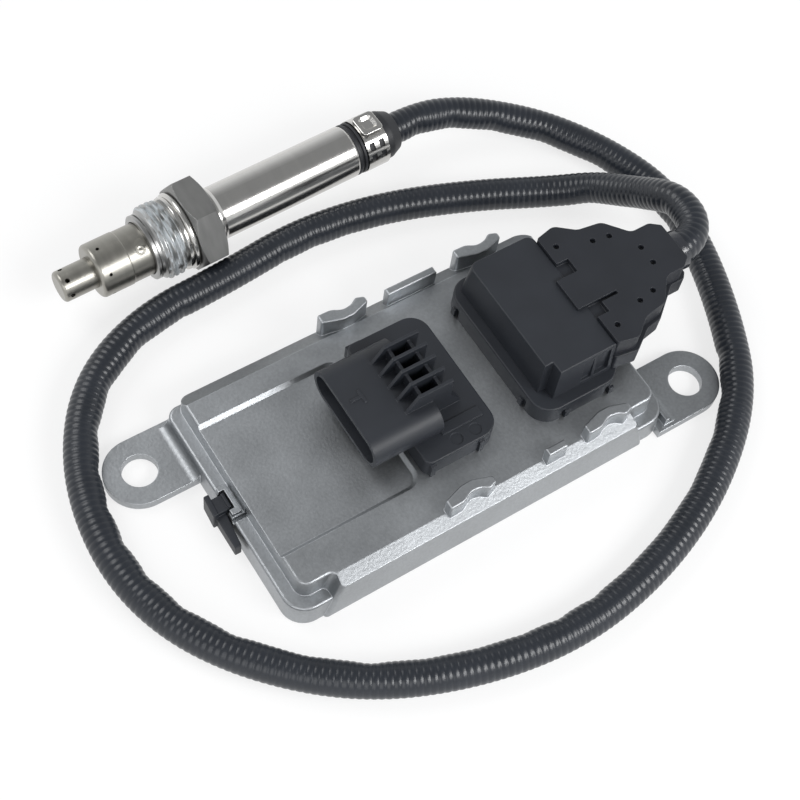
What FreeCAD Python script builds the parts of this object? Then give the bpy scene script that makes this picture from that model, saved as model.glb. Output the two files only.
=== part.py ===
import FreeCAD, Part
import math, os

os.makedirs("parts", exist_ok=True)

# Nitrogen oxide sensor: a diecast control unit with two mounting lugs, a corded plug on its lid,
# and a threaded exhaust probe on the other end of the corrugated conduit.
# Millimetres. X runs along the casting, Y to its rear, Z up. The origin lies on the mounting plane,
# midway between the two lug holes.

V = FreeCAD.Vector

# Casting
LID_HALF_L = 50.7          # half length of the raised lid
HALF_W = 30.4              # half width at the lid's edges
LEDGE = 3.1                # each end ledge past the lid
RIM_Z = 7.1                # top of the end ledges
LID_Z = 13.6               # top of the lid
EDGE_DROP = 1.3            # fall of the lid's front band
EDGE_BAND = 3.4            # width of the front band
REAR_EXTRA = 1.2           # the rear wall stands this much further out than the front one
REAR_DROP = 3.4            # fall of the lid's rear band
REAR_BAND = 4.2            # width of the rear band
END_STEP = 0.8             # the end ledges' front wall stands back this far
FLARE = 0.5                # draft of the side walls, outward at the base
WALL = 3.0                 # side wall of the inner space
ROOF = 2.6                 # thickness of the lid
RIM_CORNER_R = 6.0
REAR_CORNER_R = 3.2
LID_CORNER_R = 3.0
EASE = 0.7                 # rounding of the ledge's and lid's rims
NOTCH_DEPTH = 4.0          # corner steps at the front, inward from the front wall
NOTCH_HALF_X = 44.0        # where those steps begin, at the ledge
NOTCH_RAKE = 2.2           # lean of the steps' end walls up to the lid
RECESS_DEPTH = 0.9         # shallow floor under the power socket's mouth
RECESS_REACH = 9.3         # the recess runs on under the mouth this far
RECESS_BANK = 1.0          # width of the recess's sloping sides

# Mounting lugs
LUG_HOLE_R = 4.4
LUG_LAND = 4.5             # metal around the hole
LUG_REACH = 11.9           # hole centre past the ledge
LUG_PROUD = 0.8            # the lug's side stands past the front wall
LUG_T = 2.6
LUG_COVE = 2.6             # cove where the lug meets the wall

# Cast fence ribs on the lid
RIB_RISE = 4.6             # above the lid
RIB_T = 2.5
RIB_EASE = 0.45            # rounding of the ribs' tops
RIB_WAVE = 1.6             # sideways sweep of the wavy ribs
RIB_WAVE_L = 13.2          # length of a wavy rib
RIB_INSET = 2.0            # the front ribs stand back from the front wall
RIB_BAR_T = 2.0
RIB_BAR_REAR = 14.2        # length of the straight rear rib
RIB_BAR_FRONT = 5.4        # length of the straight front rib

# Underside
COVER_SINK = 0.3           # the cover sits this far above the mounting plane
COVER_T = 1.5
COVER_SEAL_T = 0.8
REBATE_WALL = 1.6          # wall left around the cover
SLIDE_GAP = 0.15           # side clearance of pieces dropped into a seat

# Circuit board
BOARD_T = 1.6
BOARD_Z = 4.6              # underside of the board
BOARD_GAP = 0.8            # board edge to wall
POST_R = 3.2
SCREW_R = 1.25
SCREW_HEAD_R = 2.3
SCREW_HEAD_T = 1.3
CHIP_W = 14.0              # the processor's sides
CAN_R = 2.2

# Power socket
FLANGE_H = 5.8             # both connector flanges stand this far above the lid
FLANGE_EASE = 0.4          # rounding of the flanges' tops
POWER_L = 21.0             # flange along X
POWER_W = 36.9             # flange along Y
POWER_X = -0.7             # flange centre
POWER_Y = 1.65
SPIGOT_INSET = 3.0         # flange edge to the opening in the lid
SPIGOT_LEN = 3.4           # how far the spigots reach below the lid's top
SEAL_W = 1.4
SEAL_H = 1.2
SEAL_EDGE = 1.1            # flange edge to its seal groove
SHELL_W = 27.3             # mouth of the socket, outside
SHELL_H = 9.1
SHELL_WALL = 1.1
SHELL_DEPTH = 13.0
SHELL_LIFT = 8.3           # axis of the mouth above the lid
SHELL_REACH = 11.3         # mouth past the flange
SHELL_OFF_Y = 0.5          # mouth centre past the flange centre
FIN_COUNT = 5
FIN_PITCH = 3.77
FIN_T = 0.8
FIN_RISE = 4.9             # above the shell
FIN_L = 9.4                # straight top of a fin
FIN_SLOPE = 3.2            # sloping front of a fin
POCKET_FLOOR = 1.7         # pocket floor above the socket's axis
BLADE_T = 0.8
BLADE_W = 1.6
BLADE_PITCH = 3.77
BLADE_SET = 6.0            # blade tips behind the mouth

# Probe header and its plug
HEAD_L = 24.6              # flange along X
HEAD_W = 42.4              # flange along Y
HEAD_X = 31.9
HEAD_R = 5.5
PLUG_H = 10.2              # plug above the flange
PLUG_INSET = 2.7           # flange edge to the plug's left face
PLUG_MARGIN_Y = 3.0        # flange edge to the plug's front and back faces
PLUG_DRAFT = 0.9
PLUG_WALL = 2.0
PLUG_EASE = 0.35
PLUG_ROOF = 2.2
PLUG_KEY_X = 2.3           # corner cut that keys the plug
PLUG_KEY_Y = 3.3
SHROUD_WALL = 1.6
SHROUD_GAP = 0.4           # plug skirt to shroud
CORE_GAP = 0.6             # shroud to plug core, filled by the plug seal
PIN_T = 1.0
PIN_PITCH_X = 4.2
PIN_PITCH_Y = 5.6
PIN_ROWS = 2
PIN_COLS = 4

# Cable hood
HOOD_GAP_Z = 0.3           # underside above the header flange
HOOD_TOP = 1.0             # top plate above the plug
HOOD_WALL = 1.8
HOOD_L = 30.0
HOOD_Y = 1.0
TONGUE_L = 2.9             # latch tongue laid over the plug
TONGUE_HALF = 4.6
DIMPLE_R = 0.75
DIMPLE_DEPTH = 1.3
LEAD_R = 0.8
LEAD_COUNT = 8

# Edge clip on the left ledge
CLIP_T = 1.3
CLIP_OUT = 3.8             # outer face of the clip past the ledge
CLIP_ARM_W = 2.0           # root of the arm past the plate
CLIP_W = 5.0
CLIP_ARM = 11.0            # length of the arm
CLIP_Y = 3.4

# Conduit
CORD_R = 4.25
WRAP_T = 0.9
WRAP_L = 2.5

# Probe, stations along its axis from the tip
PROBE_TIP = V(-60.9, 73.1, 0)
PROBE_YAW = 1.67           # degrees
TIP_R = 4.1
TIP_L = 9.1                # bare length of the inner tube
SHEET = 0.5                # wall of the protection tubes
GUARD_R = 7.15
GUARD_L = 14.3             # outer protection tube, shoulder to body
GUARD_STEP = 8.4           # shoulder to the rolled seam
GUARD_DRAW = 0.15          # radial step at the seam
GUARD_SEAT = 2.6           # length of the tube inside the body
PILOT_R = 8.7
PILOT_L = 2.0
THREAD_R = 10.0
THREAD_L = 8.1
THREAD_PITCH = 1.5
NECK_R = 8.9
NECK_L = 1.3
RING_T = 1.2
RING_R = 10.7
HEX_AF = 22.0
HEX_L = 7.3
BODY_BORE_R = 6.2
LIP_L = 1.0
LIP_R = 3.4
BODY_SPIGOT_L = 5.0
SLEEVE_R = 7.1
SLEEVE_WALL = 0.6
SLEEVE_L = 42.9
SLEEVE_FLARE = 0.6
SLEEVE_FLARE_L = 1.5
GROMMET_IN = 7.0           # grommet inside the sleeve
GROMMET_OUT = 2.4          # grommet between sleeve and clamp
CLAMP_W = 6.8
CLAMP_T = 0.6
CLAMP_EAR = 0.9            # ear above the band
BOOT_R = 6.6
BOOT_L = 11.8
BOOT_END_R = 5.3
ELEMENT_W = 4.0
ELEMENT_T = 1.3
ELEMENT_TIP = 3.4
BUSH_L = 5.0
TALC_L = 6.0
REAR_BUSH_L = 8.0
HOLDER_L = 14.0
FIT = 0.05                 # radial clearance of pressed and sliding round pieces
TOUCH = 0.2                # leads stop this far from what they meet

# Sizes that follow
RIM_HALF_L = LID_HALF_L + LEDGE
BASE_HALF_W = HALF_W + FLARE
LUG_R = LUG_HOLE_R + LUG_LAND
HOLE_X = RIM_HALF_L + LUG_REACH
HOLE_Y = BASE_HALF_W + LUG_PROUD - LUG_R
ROOF_Z = LID_Z - ROOF
RIB_Z = LID_Z + RIB_RISE
REAR_Y = HALF_W + REAR_EXTRA
SEAT_Z = COVER_SINK + COVER_T + COVER_SEAL_T
BOARD_TOP = BOARD_Z + BOARD_T
FLANGE_Z = LID_Z + FLANGE_H
SPIGOT_Z = LID_Z - SPIGOT_LEN
SHELL_Z = LID_Z + SHELL_LIFT
SHELL_Y = POWER_Y + SHELL_OFF_Y
SHELL_X0 = POWER_X - POWER_L / 2 - SHELL_REACH
FIN_Z = SHELL_Z + SHELL_H / 2 + FIN_RISE
FIN_X0 = POWER_X - POWER_L / 2 + 3.4
FIN_X1 = FIN_X0 + FIN_L
HEAD_Y = POWER_Y - 0.05
HEAD_X0 = HEAD_X - HEAD_L / 2
PLUG_X0 = HEAD_X0 + PLUG_INSET
PLUG_X1 = HEAD_X + HEAD_L / 2 - 2.4
PLUG_Y0 = HEAD_Y - HEAD_W / 2 + PLUG_MARGIN_Y
PLUG_Y1 = HEAD_Y + HEAD_W / 2 - PLUG_MARGIN_Y + 1.4
PLUG_Z = FLANGE_Z + PLUG_H
HOOD_X0 = PLUG_X1
HOOD_X1 = HOOD_X0 + HOOD_L
HOOD_Z0 = FLANGE_Z + HOOD_GAP_Z
HOOD_Z1 = PLUG_Z + HOOD_TOP
CORD_Z = (HOOD_Z0 + HOOD_Z1) / 2
PROBE_Z = HEX_AF / 2
GUARD_X0 = TIP_L
BODY_X0 = TIP_L + GUARD_L
THREAD_X0 = BODY_X0 + PILOT_L
NECK_X0 = THREAD_X0 + THREAD_L
HEX_X0 = NECK_X0 + NECK_L
HEX_X1 = HEX_X0 + HEX_L
SPIGOT_X1 = HEX_X1 + BODY_SPIGOT_L
SLEEVE_IN = SLEEVE_R - SLEEVE_WALL
SLEEVE_X1 = HEX_X1 + SLEEVE_L
CLAMP_X0 = SLEEVE_X1 + GROMMET_OUT
BOOT_X1 = CLAMP_X0 + BOOT_L
LIP_X0 = BODY_X0 + GUARD_SEAT
BUSH_X0 = LIP_X0 + LIP_L
TALC_X0 = BUSH_X0 + BUSH_L
REAR_BUSH_X0 = TALC_X0 + TALC_L
HOLDER_X0 = SPIGOT_X1
HOLDER_X1 = HOLDER_X0 + HOLDER_L

# Route of the conduit's centre line, from the cable hood round the unit to the probe's boot.
# It lies on the bench apart from its rise to each end.
FLOOR = CORD_R
CORD_ROUTE = [
    (HOOD_X1, 0.8, CORD_Z),
    (HOOD_X1 + 4.7, 0.8, CORD_Z),
    (81.1, 3.2, CORD_Z),
    (84.1, 8.0, 24.9),
    (83.9, 15.5, 23.8),
    (82.2, 25.0, 15.3),
    (78.4, 35.3, 8.0),
    (68.2, 42.1, FLOOR + 0.2),
    (49.0, 51.3, FLOOR),
    (25.5, 59.5, FLOOR),
    (2.0, 62.6, FLOOR),
    (-22.0, 59.9, FLOOR),
    (-45.5, 58.8, FLOOR),
    (-65.5, 49.2, FLOOR),
    (-78.2, 30.4, FLOOR),
    (-82.8, 7.0, FLOOR),
    (-79.2, -13.8, FLOOR),
    (-67.4, -32.8, FLOOR),
    (-48.2, -50.1, FLOOR),
    (-24.0, -60.4, FLOOR),
    (2.0, -64.7, FLOOR),
    (28.0, -60.8, FLOOR),
    (52.8, -50.8, FLOOR),
    (75.1, -33.9, FLOOR),
    (85.8, -13.8, FLOOR),
    (93.5, 8.0, FLOOR),
    (96.1, 27.0, FLOOR),
    (90.3, 44.8, FLOOR + 0.1),
    (79.6, 60.0, FLOOR + 1.4),
    (67.6, 68.6, FLOOR + 3.9),
    (57.4, 73.5, FLOOR + 5.9),
]
BOOT_RUN = 9.0             # straight run out of the boot


def save(name, shape):
    """Write one piece to its own file."""
    shape.exportStep("parts/" + name + ".step")


def corner(before, at, after, radius):
    """Tangent points and middle of a rounded corner in the plane."""
    a = (before - at).normalize()
    b = (after - at).normalize()
    half = math.acos(max(-1.0, min(1.0, a.dot(b)))) / 2
    reach = radius / math.tan(half)
    bisector = (a + b).normalize()
    centre = at + bisector * (radius / math.sin(half))
    return at + a * reach, centre - bisector * radius, at + b * reach


def outline(points, place):
    """Closed wire through points (u, v, radius); place maps (u, v) to space."""
    flat = [V(p[0], p[1], 0) for p in points]
    radii = [p[2] if len(p) > 2 else 0 for p in points]
    count = len(flat)
    starts, edges, ends = [], [], []
    for i in range(count):
        if radii[i] > 0:
            first, middle, last = corner(flat[i - 1], flat[i], flat[(i + 1) % count], radii[i])
        else:
            first, middle, last = flat[i], None, flat[i]
        starts.append(first)
        ends.append((middle, last))
    for i in range(count):
        middle, last = ends[i]
        if middle is not None:
            arc = Part.Arc(place(starts[i]), place(middle), place(last))
            edges.append(arc.toShape())
        nxt = starts[(i + 1) % count]
        if (nxt - last).Length > 1e-6:
            edges.append(Part.LineSegment(place(last), place(nxt)).toShape())
    return Part.Wire(edges)


def flat_at(z):
    """Plan view at a height."""
    return lambda p: V(p.x, p.y, z)


def prism(points, z0, z1):
    """Upright prism of a plan outline."""
    face = Part.Face(outline(points, flat_at(z0)))
    return face.extrude(V(0, 0, z1 - z0))


def side_prism(points, x0, x1):
    """Prism along X of an outline given as (y, z)."""
    face = Part.Face(outline(points, lambda p: V(x0, p.x, p.y)))
    return face.extrude(V(x1 - x0, 0, 0))


def front_prism(points, y0, y1):
    """Prism along Y of an outline given as (x, z)."""
    face = Part.Face(outline(points, lambda p: V(p.x, y0, p.y)))
    return face.extrude(V(0, y1 - y0, 0))


def tapered(low, z0, high, z1):
    """Straight-sided solid between two plan outlines of the same corners."""
    return Part.makeLoft([outline(low, flat_at(z0)), outline(high, flat_at(z1))], True, True)


def box(x0, x1, y0, y1, z0, z1):
    """Box between limits."""
    return Part.makeBox(x1 - x0, y1 - y0, z1 - z0, V(x0, y0, z0))


def rect(x0, x1, y0, y1, radius):
    """Rounded rectangle as outline points."""
    return [(x1, y1, radius), (x0, y1, radius), (x0, y0, radius), (x1, y0, radius)]


def post(x, y, z0, z1, radius):
    """Upright round bar."""
    return Part.makeCylinder(radius, z1 - z0, V(x, y, z0))


def half_w(z):
    """Half width of the drafted side walls at a height."""
    return HALF_W + FLARE * (1 - z / LID_Z)


# Casting

def rim_outline(z, inset=0.0, step=END_STEP):
    """Plan of the lower casting, ends and all."""
    front = half_w(z) - inset - step
    rear = half_w(z) + REAR_EXTRA - inset
    end = RIM_HALF_L + (half_w(z) - HALF_W) - inset
    turn = max(RIM_CORNER_R - inset, 1.0)
    back = max(REAR_CORNER_R - inset, 1.0)
    return [(end, rear, back), (-end, rear, back), (-end, -front, turn), (end, -front, turn)]


def lid_outline(z, inset=0.0, rake=0.0):
    """Plan of the raised lid, stepped in at both front corners."""
    end = LID_HALF_L - inset
    side = half_w(z) - inset
    rear = side + REAR_EXTRA
    step_y = HALF_W - NOTCH_DEPTH - inset
    step_x = NOTCH_HALF_X - rake - inset
    turn = max(LID_CORNER_R - inset, 0.8)
    return [(end, rear, turn), (-end, rear, turn), (-end, -step_y, turn),
            (-step_x, -step_y, 1.5), (-step_x, -side, 1.2),
            (step_x, -side, 1.2), (step_x, -step_y, 1.5), (end, -step_y, turn)]


def lug(sign):
    """One mounting lug with its hole, left at the rear and right at the front."""
    root = RIM_HALF_L - WALL
    plate = box(root, HOLE_X, HOLE_Y - LUG_R, HOLE_Y + LUG_R, 0, LUG_T)
    plate = plate.fuse(post(HOLE_X, HOLE_Y, 0, LUG_T, LUG_R))
    wall_x = RIM_HALF_L + FLARE * 0.4
    cove = box(wall_x - 1, wall_x + LUG_COVE, HOLE_Y - LUG_R, HOLE_Y + LUG_R - 1.2, LUG_T - 0.5,
               LUG_T + LUG_COVE)
    roll = Part.makeCylinder(LUG_COVE, 2 * LUG_R + 2, V(wall_x + LUG_COVE, HOLE_Y - LUG_R - 1,
                             LUG_T + LUG_COVE), V(0, 1, 0))
    plate = plate.fuse(cove.cut(roll)).cut(post(HOLE_X, HOLE_Y, -1, LUG_T + 4, LUG_HOLE_R))
    plate.rotate(V(0, 0, 0), V(0, 0, 1), 180 if sign < 0 else 0)
    return plate.mirror(V(0, 0, 0), V(0, 1, 0))


def eased(shape, z, radius):
    """Rounds every edge that lies at one height."""
    edges = [e for e in shape.Edges if all(abs(v.Z - z) < 1e-6 for v in e.Vertexes)]
    return shape.makeFillet(radius, edges)


def wavy_rib(x0, outer, side):
    """Cast rib that sweeps inward at its middle; side is +1 at the rear, -1 at the front."""
    x1 = x0 + RIB_WAVE_L
    third = RIB_WAVE_L / 3
    inner = outer - RIB_T
    line = [(x0, outer, 0.6), (x0 + third * 0.9, outer - 0.1, 4), (x0 + third * 1.5, outer - RIB_WAVE, 4),
            (x1 - third * 0.9, outer - RIB_WAVE * 0.7, 3), (x1 - 2.2, outer, 1.2), (x1, outer - 0.8, 0.7),
            (x1, inner, 0.7), (x1 - third * 1.1, inner - RIB_WAVE, 4),
            (x0 + third * 1.2, inner - RIB_WAVE, 4), (x0, inner, 0.7)]
    points = [(p[0], side * p[1], p[2]) for p in line]
    if side > 0:
        points.reverse()
    return eased(prism(points, LID_Z - REAR_DROP, RIB_Z), RIB_Z, RIB_EASE)


def bar_rib(x0, length, outer, side):
    """Straight cast rib along a long edge."""
    low, high = sorted((side * outer, side * (outer - RIB_BAR_T)))
    block = box(x0, x0 + length, low, high, LID_Z - REAR_DROP, RIB_Z)
    return eased(block, RIB_Z, RIB_EASE)


RIBS_X = (-12.1, 27.6)     # the wavy ribs start here, front and rear
BAR_REAR_X = 6.5
BAR_FRONT_X = 15.8
POST_INSET_X = 12.0        # left posts from the lid's end
POST_INSET_Y = 10.5        # left posts from the lid's sides
POST_MID_Y = 8.4           # middle posts from the lid's sides
POST_MID_X = 14.2          # middle posts, between the two flanges
POSTS = [(-LID_HALF_L + POST_INSET_X, HALF_W - POST_INSET_Y), (-LID_HALF_L + POST_INSET_X, -HALF_W + POST_INSET_Y),
         (POST_MID_X, HALF_W - POST_MID_Y), (POST_MID_X, -HALF_W + POST_MID_Y)]


def opening(x, y, length, width):
    """Plan of the lid opening under a flange."""
    half_x = length / 2 - SPIGOT_INSET
    half_y = width / 2 - SPIGOT_INSET
    return rect(x - half_x, x + half_x, y - half_y, y + half_y, 2.0)


def clip_loop():
    """Cast loop on the left ledge that the edge clip hangs on."""
    x0 = -RIM_HALF_L + 0.1
    half = CLIP_W / 2
    return box(x0, x0 + 2.4, CLIP_Y - half - 1.6, CLIP_Y + half + 1.4, RIM_Z - 1, RIM_Z + 1.3)


def clip_window():
    """Hole in the ledge and loop for the clip's bridge."""
    half = CLIP_W / 2 + SLIDE_GAP
    return box(-RIM_HALF_L - 2, -RIM_HALF_L + 1.5, CLIP_Y - half, CLIP_Y + half, RIM_Z - 2.0, RIM_Z + 3)


def clip_slot():
    """Narrow slot across the ledge beside the loop."""
    low = CLIP_Y - CLIP_W / 2 - 3.0
    return box(-RIM_HALF_L - 2, -LID_HALF_L + 0.6, low, low + 1.1, RIM_Z - 1.4, RIM_Z + 3)


def long_band(outer, band, drop):
    """Wedge that slopes one long edge of the lid; outer is the wall's place, signed."""
    side = 1 if outer > 0 else -1
    inner = outer - side * band
    past = outer + side * 2
    fall = drop * (band + 2) / band
    return side_prism([(inner, LID_Z), (past, LID_Z + 0.5), (past, LID_Z - fall)],
                      -LID_HALF_L - 1, LID_HALF_L + 1)


def recess():
    """Shallow pocket in the lid under the socket's mouth, with banked sides."""
    x1 = SHELL_X0 + RECESS_REACH
    y0 = SHELL_Y - SHELL_W / 2 - 5.2
    y1 = SHELL_Y + SHELL_W / 2 + 4.6
    low = rect(-LID_HALF_L - 9, x1, y0, y1, 3.0)
    bank = RECESS_BANK
    high = rect(-LID_HALF_L - 9 - bank, x1 + bank, y0 - bank, y1 + bank, 3.0 + bank)
    floor = LID_Z - RECESS_DEPTH
    return tapered(low, floor, high, LID_Z + 0.01)


def make_housing():
    """Diecast body, open below, with lugs, ribs, ledges and two connector openings."""
    low = eased(tapered(rim_outline(0), 0, rim_outline(RIM_Z), RIM_Z), RIM_Z, EASE)
    splay = NOTCH_RAKE * RIM_Z / (LID_Z - RIM_Z)
    high = tapered(lid_outline(0, 0, -splay), 0, lid_outline(LID_Z, 0, NOTCH_RAKE), LID_Z)
    body = low.fuse(eased(high, LID_Z, EASE))
    body = body.cut(long_band(-HALF_W, EDGE_BAND, EDGE_DROP))
    body = body.cut(long_band(REAR_Y, REAR_BAND, REAR_DROP))
    for x0 in RIBS_X:
        body = body.fuse(wavy_rib(x0, REAR_Y, 1))
        body = body.fuse(wavy_rib(x0, HALF_W - RIB_INSET, -1))
    body = body.fuse(bar_rib(BAR_REAR_X, RIB_BAR_REAR, REAR_Y - 1.5, 1))
    body = body.fuse(bar_rib(BAR_FRONT_X, RIB_BAR_FRONT, HALF_W - RIB_INSET, -1))
    body = body.fuse(lug(1)).fuse(lug(-1))
    body = body.fuse(clip_loop()).cut(clip_window()).cut(clip_slot())
    body = body.cut(recess())
    body = body.cut(prism(lid_outline(LID_Z, WALL, NOTCH_RAKE), -1, ROOF_Z))
    body = body.cut(prism(rim_outline(0, FLARE + REBATE_WALL), -1, SEAT_Z))
    for x, y in POSTS:
        body = body.fuse(post(x, y, BOARD_TOP, ROOF_Z + 0.4, POST_R))
        body = body.cut(post(x, y, BOARD_TOP - 1, ROOF_Z - 0.5, SCREW_R + FIT))
    body = body.cut(prism(opening(POWER_X, POWER_Y, POWER_L, POWER_W), SEAT_Z + 4, LID_Z + 1))
    body = body.cut(prism(opening(HEAD_X, HEAD_Y, HEAD_L, HEAD_W), SEAT_Z + 4, LID_Z + 1))
    return body.removeSplitter()


def make_bottom_cover():
    """Plate that closes the casting from below, with a raised stiffening panel."""
    plate = prism(rim_outline(0, FLARE + REBATE_WALL + SLIDE_GAP), COVER_SINK, COVER_SINK + COVER_T)
    panel = prism(rect(-34, 34, -15, 15, 5), COVER_SINK - 1, COVER_SINK + COVER_T / 3)
    return plate.cut(panel)


def make_cover_seal():
    """Flat bead between cover and casting."""
    outer = rim_outline(0, FLARE + REBATE_WALL + SLIDE_GAP)
    inner = rim_outline(0, FLARE + WALL - 0.1)
    z0 = COVER_SINK + COVER_T
    return prism(outer, z0, SEAT_Z).cut(prism(inner, z0 - 1, SEAT_Z + 1))


# Circuit board and what it carries

def blade_rows():
    """Y places of the power blades."""
    count = FIN_COUNT - 1
    return [SHELL_Y + (i - (count - 1) / 2) * BLADE_PITCH for i in range(count)]


def header_places():
    """Plan places of the header pins, numbered along each row."""
    centre_x = (PLUG_X0 + PLUG_X1) / 2
    centre_y = (PLUG_Y0 + PLUG_Y1) / 2
    places = []
    for row in range(PIN_ROWS):
        for col in range(PIN_COLS):
            places.append((centre_x + (row - (PIN_ROWS - 1) / 2) * PIN_PITCH_X,
                           centre_y + (col - (PIN_COLS - 1) / 2) * PIN_PITCH_Y))
    return places


BLADE_X = POWER_X + 0.9    # the blades turn down here


def make_circuit_board():
    """Board shaped to the inner space, drilled for screws, blades and pins."""
    board = prism(lid_outline(LID_Z, WALL + BOARD_GAP, NOTCH_RAKE), BOARD_Z, BOARD_TOP)
    for x, y in POSTS:
        board = board.cut(post(x, y, BOARD_Z - 1, BOARD_TOP + 1, SCREW_R + 0.2))
    for y in blade_rows():
        board = board.cut(post(BLADE_X, y, BOARD_Z - 1, BOARD_TOP + 1, BLADE_W * 0.6))
    for x, y in header_places():
        board = board.cut(post(x, y, BOARD_Z - 1, BOARD_TOP + 1, PIN_T * 0.8))
    return board


def make_board_screw(x, y):
    """Pan-head screw up through the board into its post."""
    head = post(x, y, BOARD_Z - SCREW_HEAD_T, BOARD_Z, SCREW_HEAD_R)
    shank = post(x, y, BOARD_Z - 0.1, ROOF_Z - 1.0, SCREW_R)
    slot = Part.makeBox(2 * SCREW_HEAD_R, 0.6, 0.6,
                        V(x - SCREW_HEAD_R, y - 0.3, BOARD_Z - SCREW_HEAD_T - 0.1))
    return head.fuse(shank).cut(slot)


def make_chip(x, y, length, width, height):
    """Flat package standing on the board, with its first-pin corner cut."""
    body = box(x - length / 2, x + length / 2, y - width / 2, y + width / 2, BOARD_TOP, BOARD_TOP + height)
    return body.cut(post(x - length / 2, y + width / 2, BOARD_TOP - 1, BOARD_TOP + 6, 0.9))


def make_capacitor(x, y, radius, length):
    """Round capacitor lying on the board along Y."""
    can = Part.makeCylinder(radius, length, V(x, y - length / 2, BOARD_TOP + radius), V(0, 1, 0))
    foot = box(x - radius * 0.8, x + radius * 0.8, y - length / 2, y + length / 2, BOARD_TOP,
               BOARD_TOP + radius * 0.5)
    return can.fuse(foot)


# Power socket

def power_flange(z0, z1, inset=0.0):
    """Flange block of the power socket, with tighter corners towards the mouth."""
    x0 = POWER_X - POWER_L / 2 + inset
    x1 = POWER_X + POWER_L / 2 - inset
    y0 = POWER_Y - POWER_W / 2 + inset
    y1 = POWER_Y + POWER_W / 2 - inset
    tight = max(2.0 - inset, 0.6)
    wide = max(5.0 - inset, 1.2)
    return prism([(x1, y1, wide), (x0, y1, tight), (x0, y0, tight), (x1, y0, wide)], z0, z1)


def stadium(width, height, x0, x1):
    """Flat-sided tube form with round edges, along X about the socket's axis."""
    reach = width / 2
    half = height / 2
    flat = reach - half
    top, low = SHELL_Z + half, SHELL_Z - half
    edges = [
        Part.LineSegment(V(x0, SHELL_Y - flat, top), V(x0, SHELL_Y + flat, top)).toShape(),
        Part.Arc(V(x0, SHELL_Y + flat, top), V(x0, SHELL_Y + reach, SHELL_Z),
                 V(x0, SHELL_Y + flat, low)).toShape(),
        Part.LineSegment(V(x0, SHELL_Y + flat, low), V(x0, SHELL_Y - flat, low)).toShape(),
        Part.Arc(V(x0, SHELL_Y - flat, low), V(x0, SHELL_Y - reach, SHELL_Z),
                 V(x0, SHELL_Y - flat, top)).toShape(),
    ]
    return Part.Face(Part.Wire(edges)).extrude(V(x1 - x0, 0, 0))


def fin(y):
    """One upright fin behind the shell."""
    low = FLANGE_Z - 1
    shell_top = SHELL_Z + SHELL_H / 2
    points = [(FIN_X0 - FIN_SLOPE, shell_top - 1), (FIN_X0 - FIN_SLOPE, shell_top), (FIN_X0, FIN_Z),
              (FIN_X1, FIN_Z), (FIN_X1, low), (FIN_X0, low)]
    return front_prism(points, y - FIN_T / 2, y + FIN_T / 2)


def fin_rows():
    """Y places of the fins, centred on the shell."""
    return [SHELL_Y + (i - (FIN_COUNT - 1) / 2) * FIN_PITCH for i in range(FIN_COUNT)]


def snap_rib(x, y, width_x, width_y, z1):
    """Small upright rib on a flange's side."""
    return box(x - width_x / 2, x + width_x / 2, y - width_y / 2, y + width_y / 2, LID_Z, z1)


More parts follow.
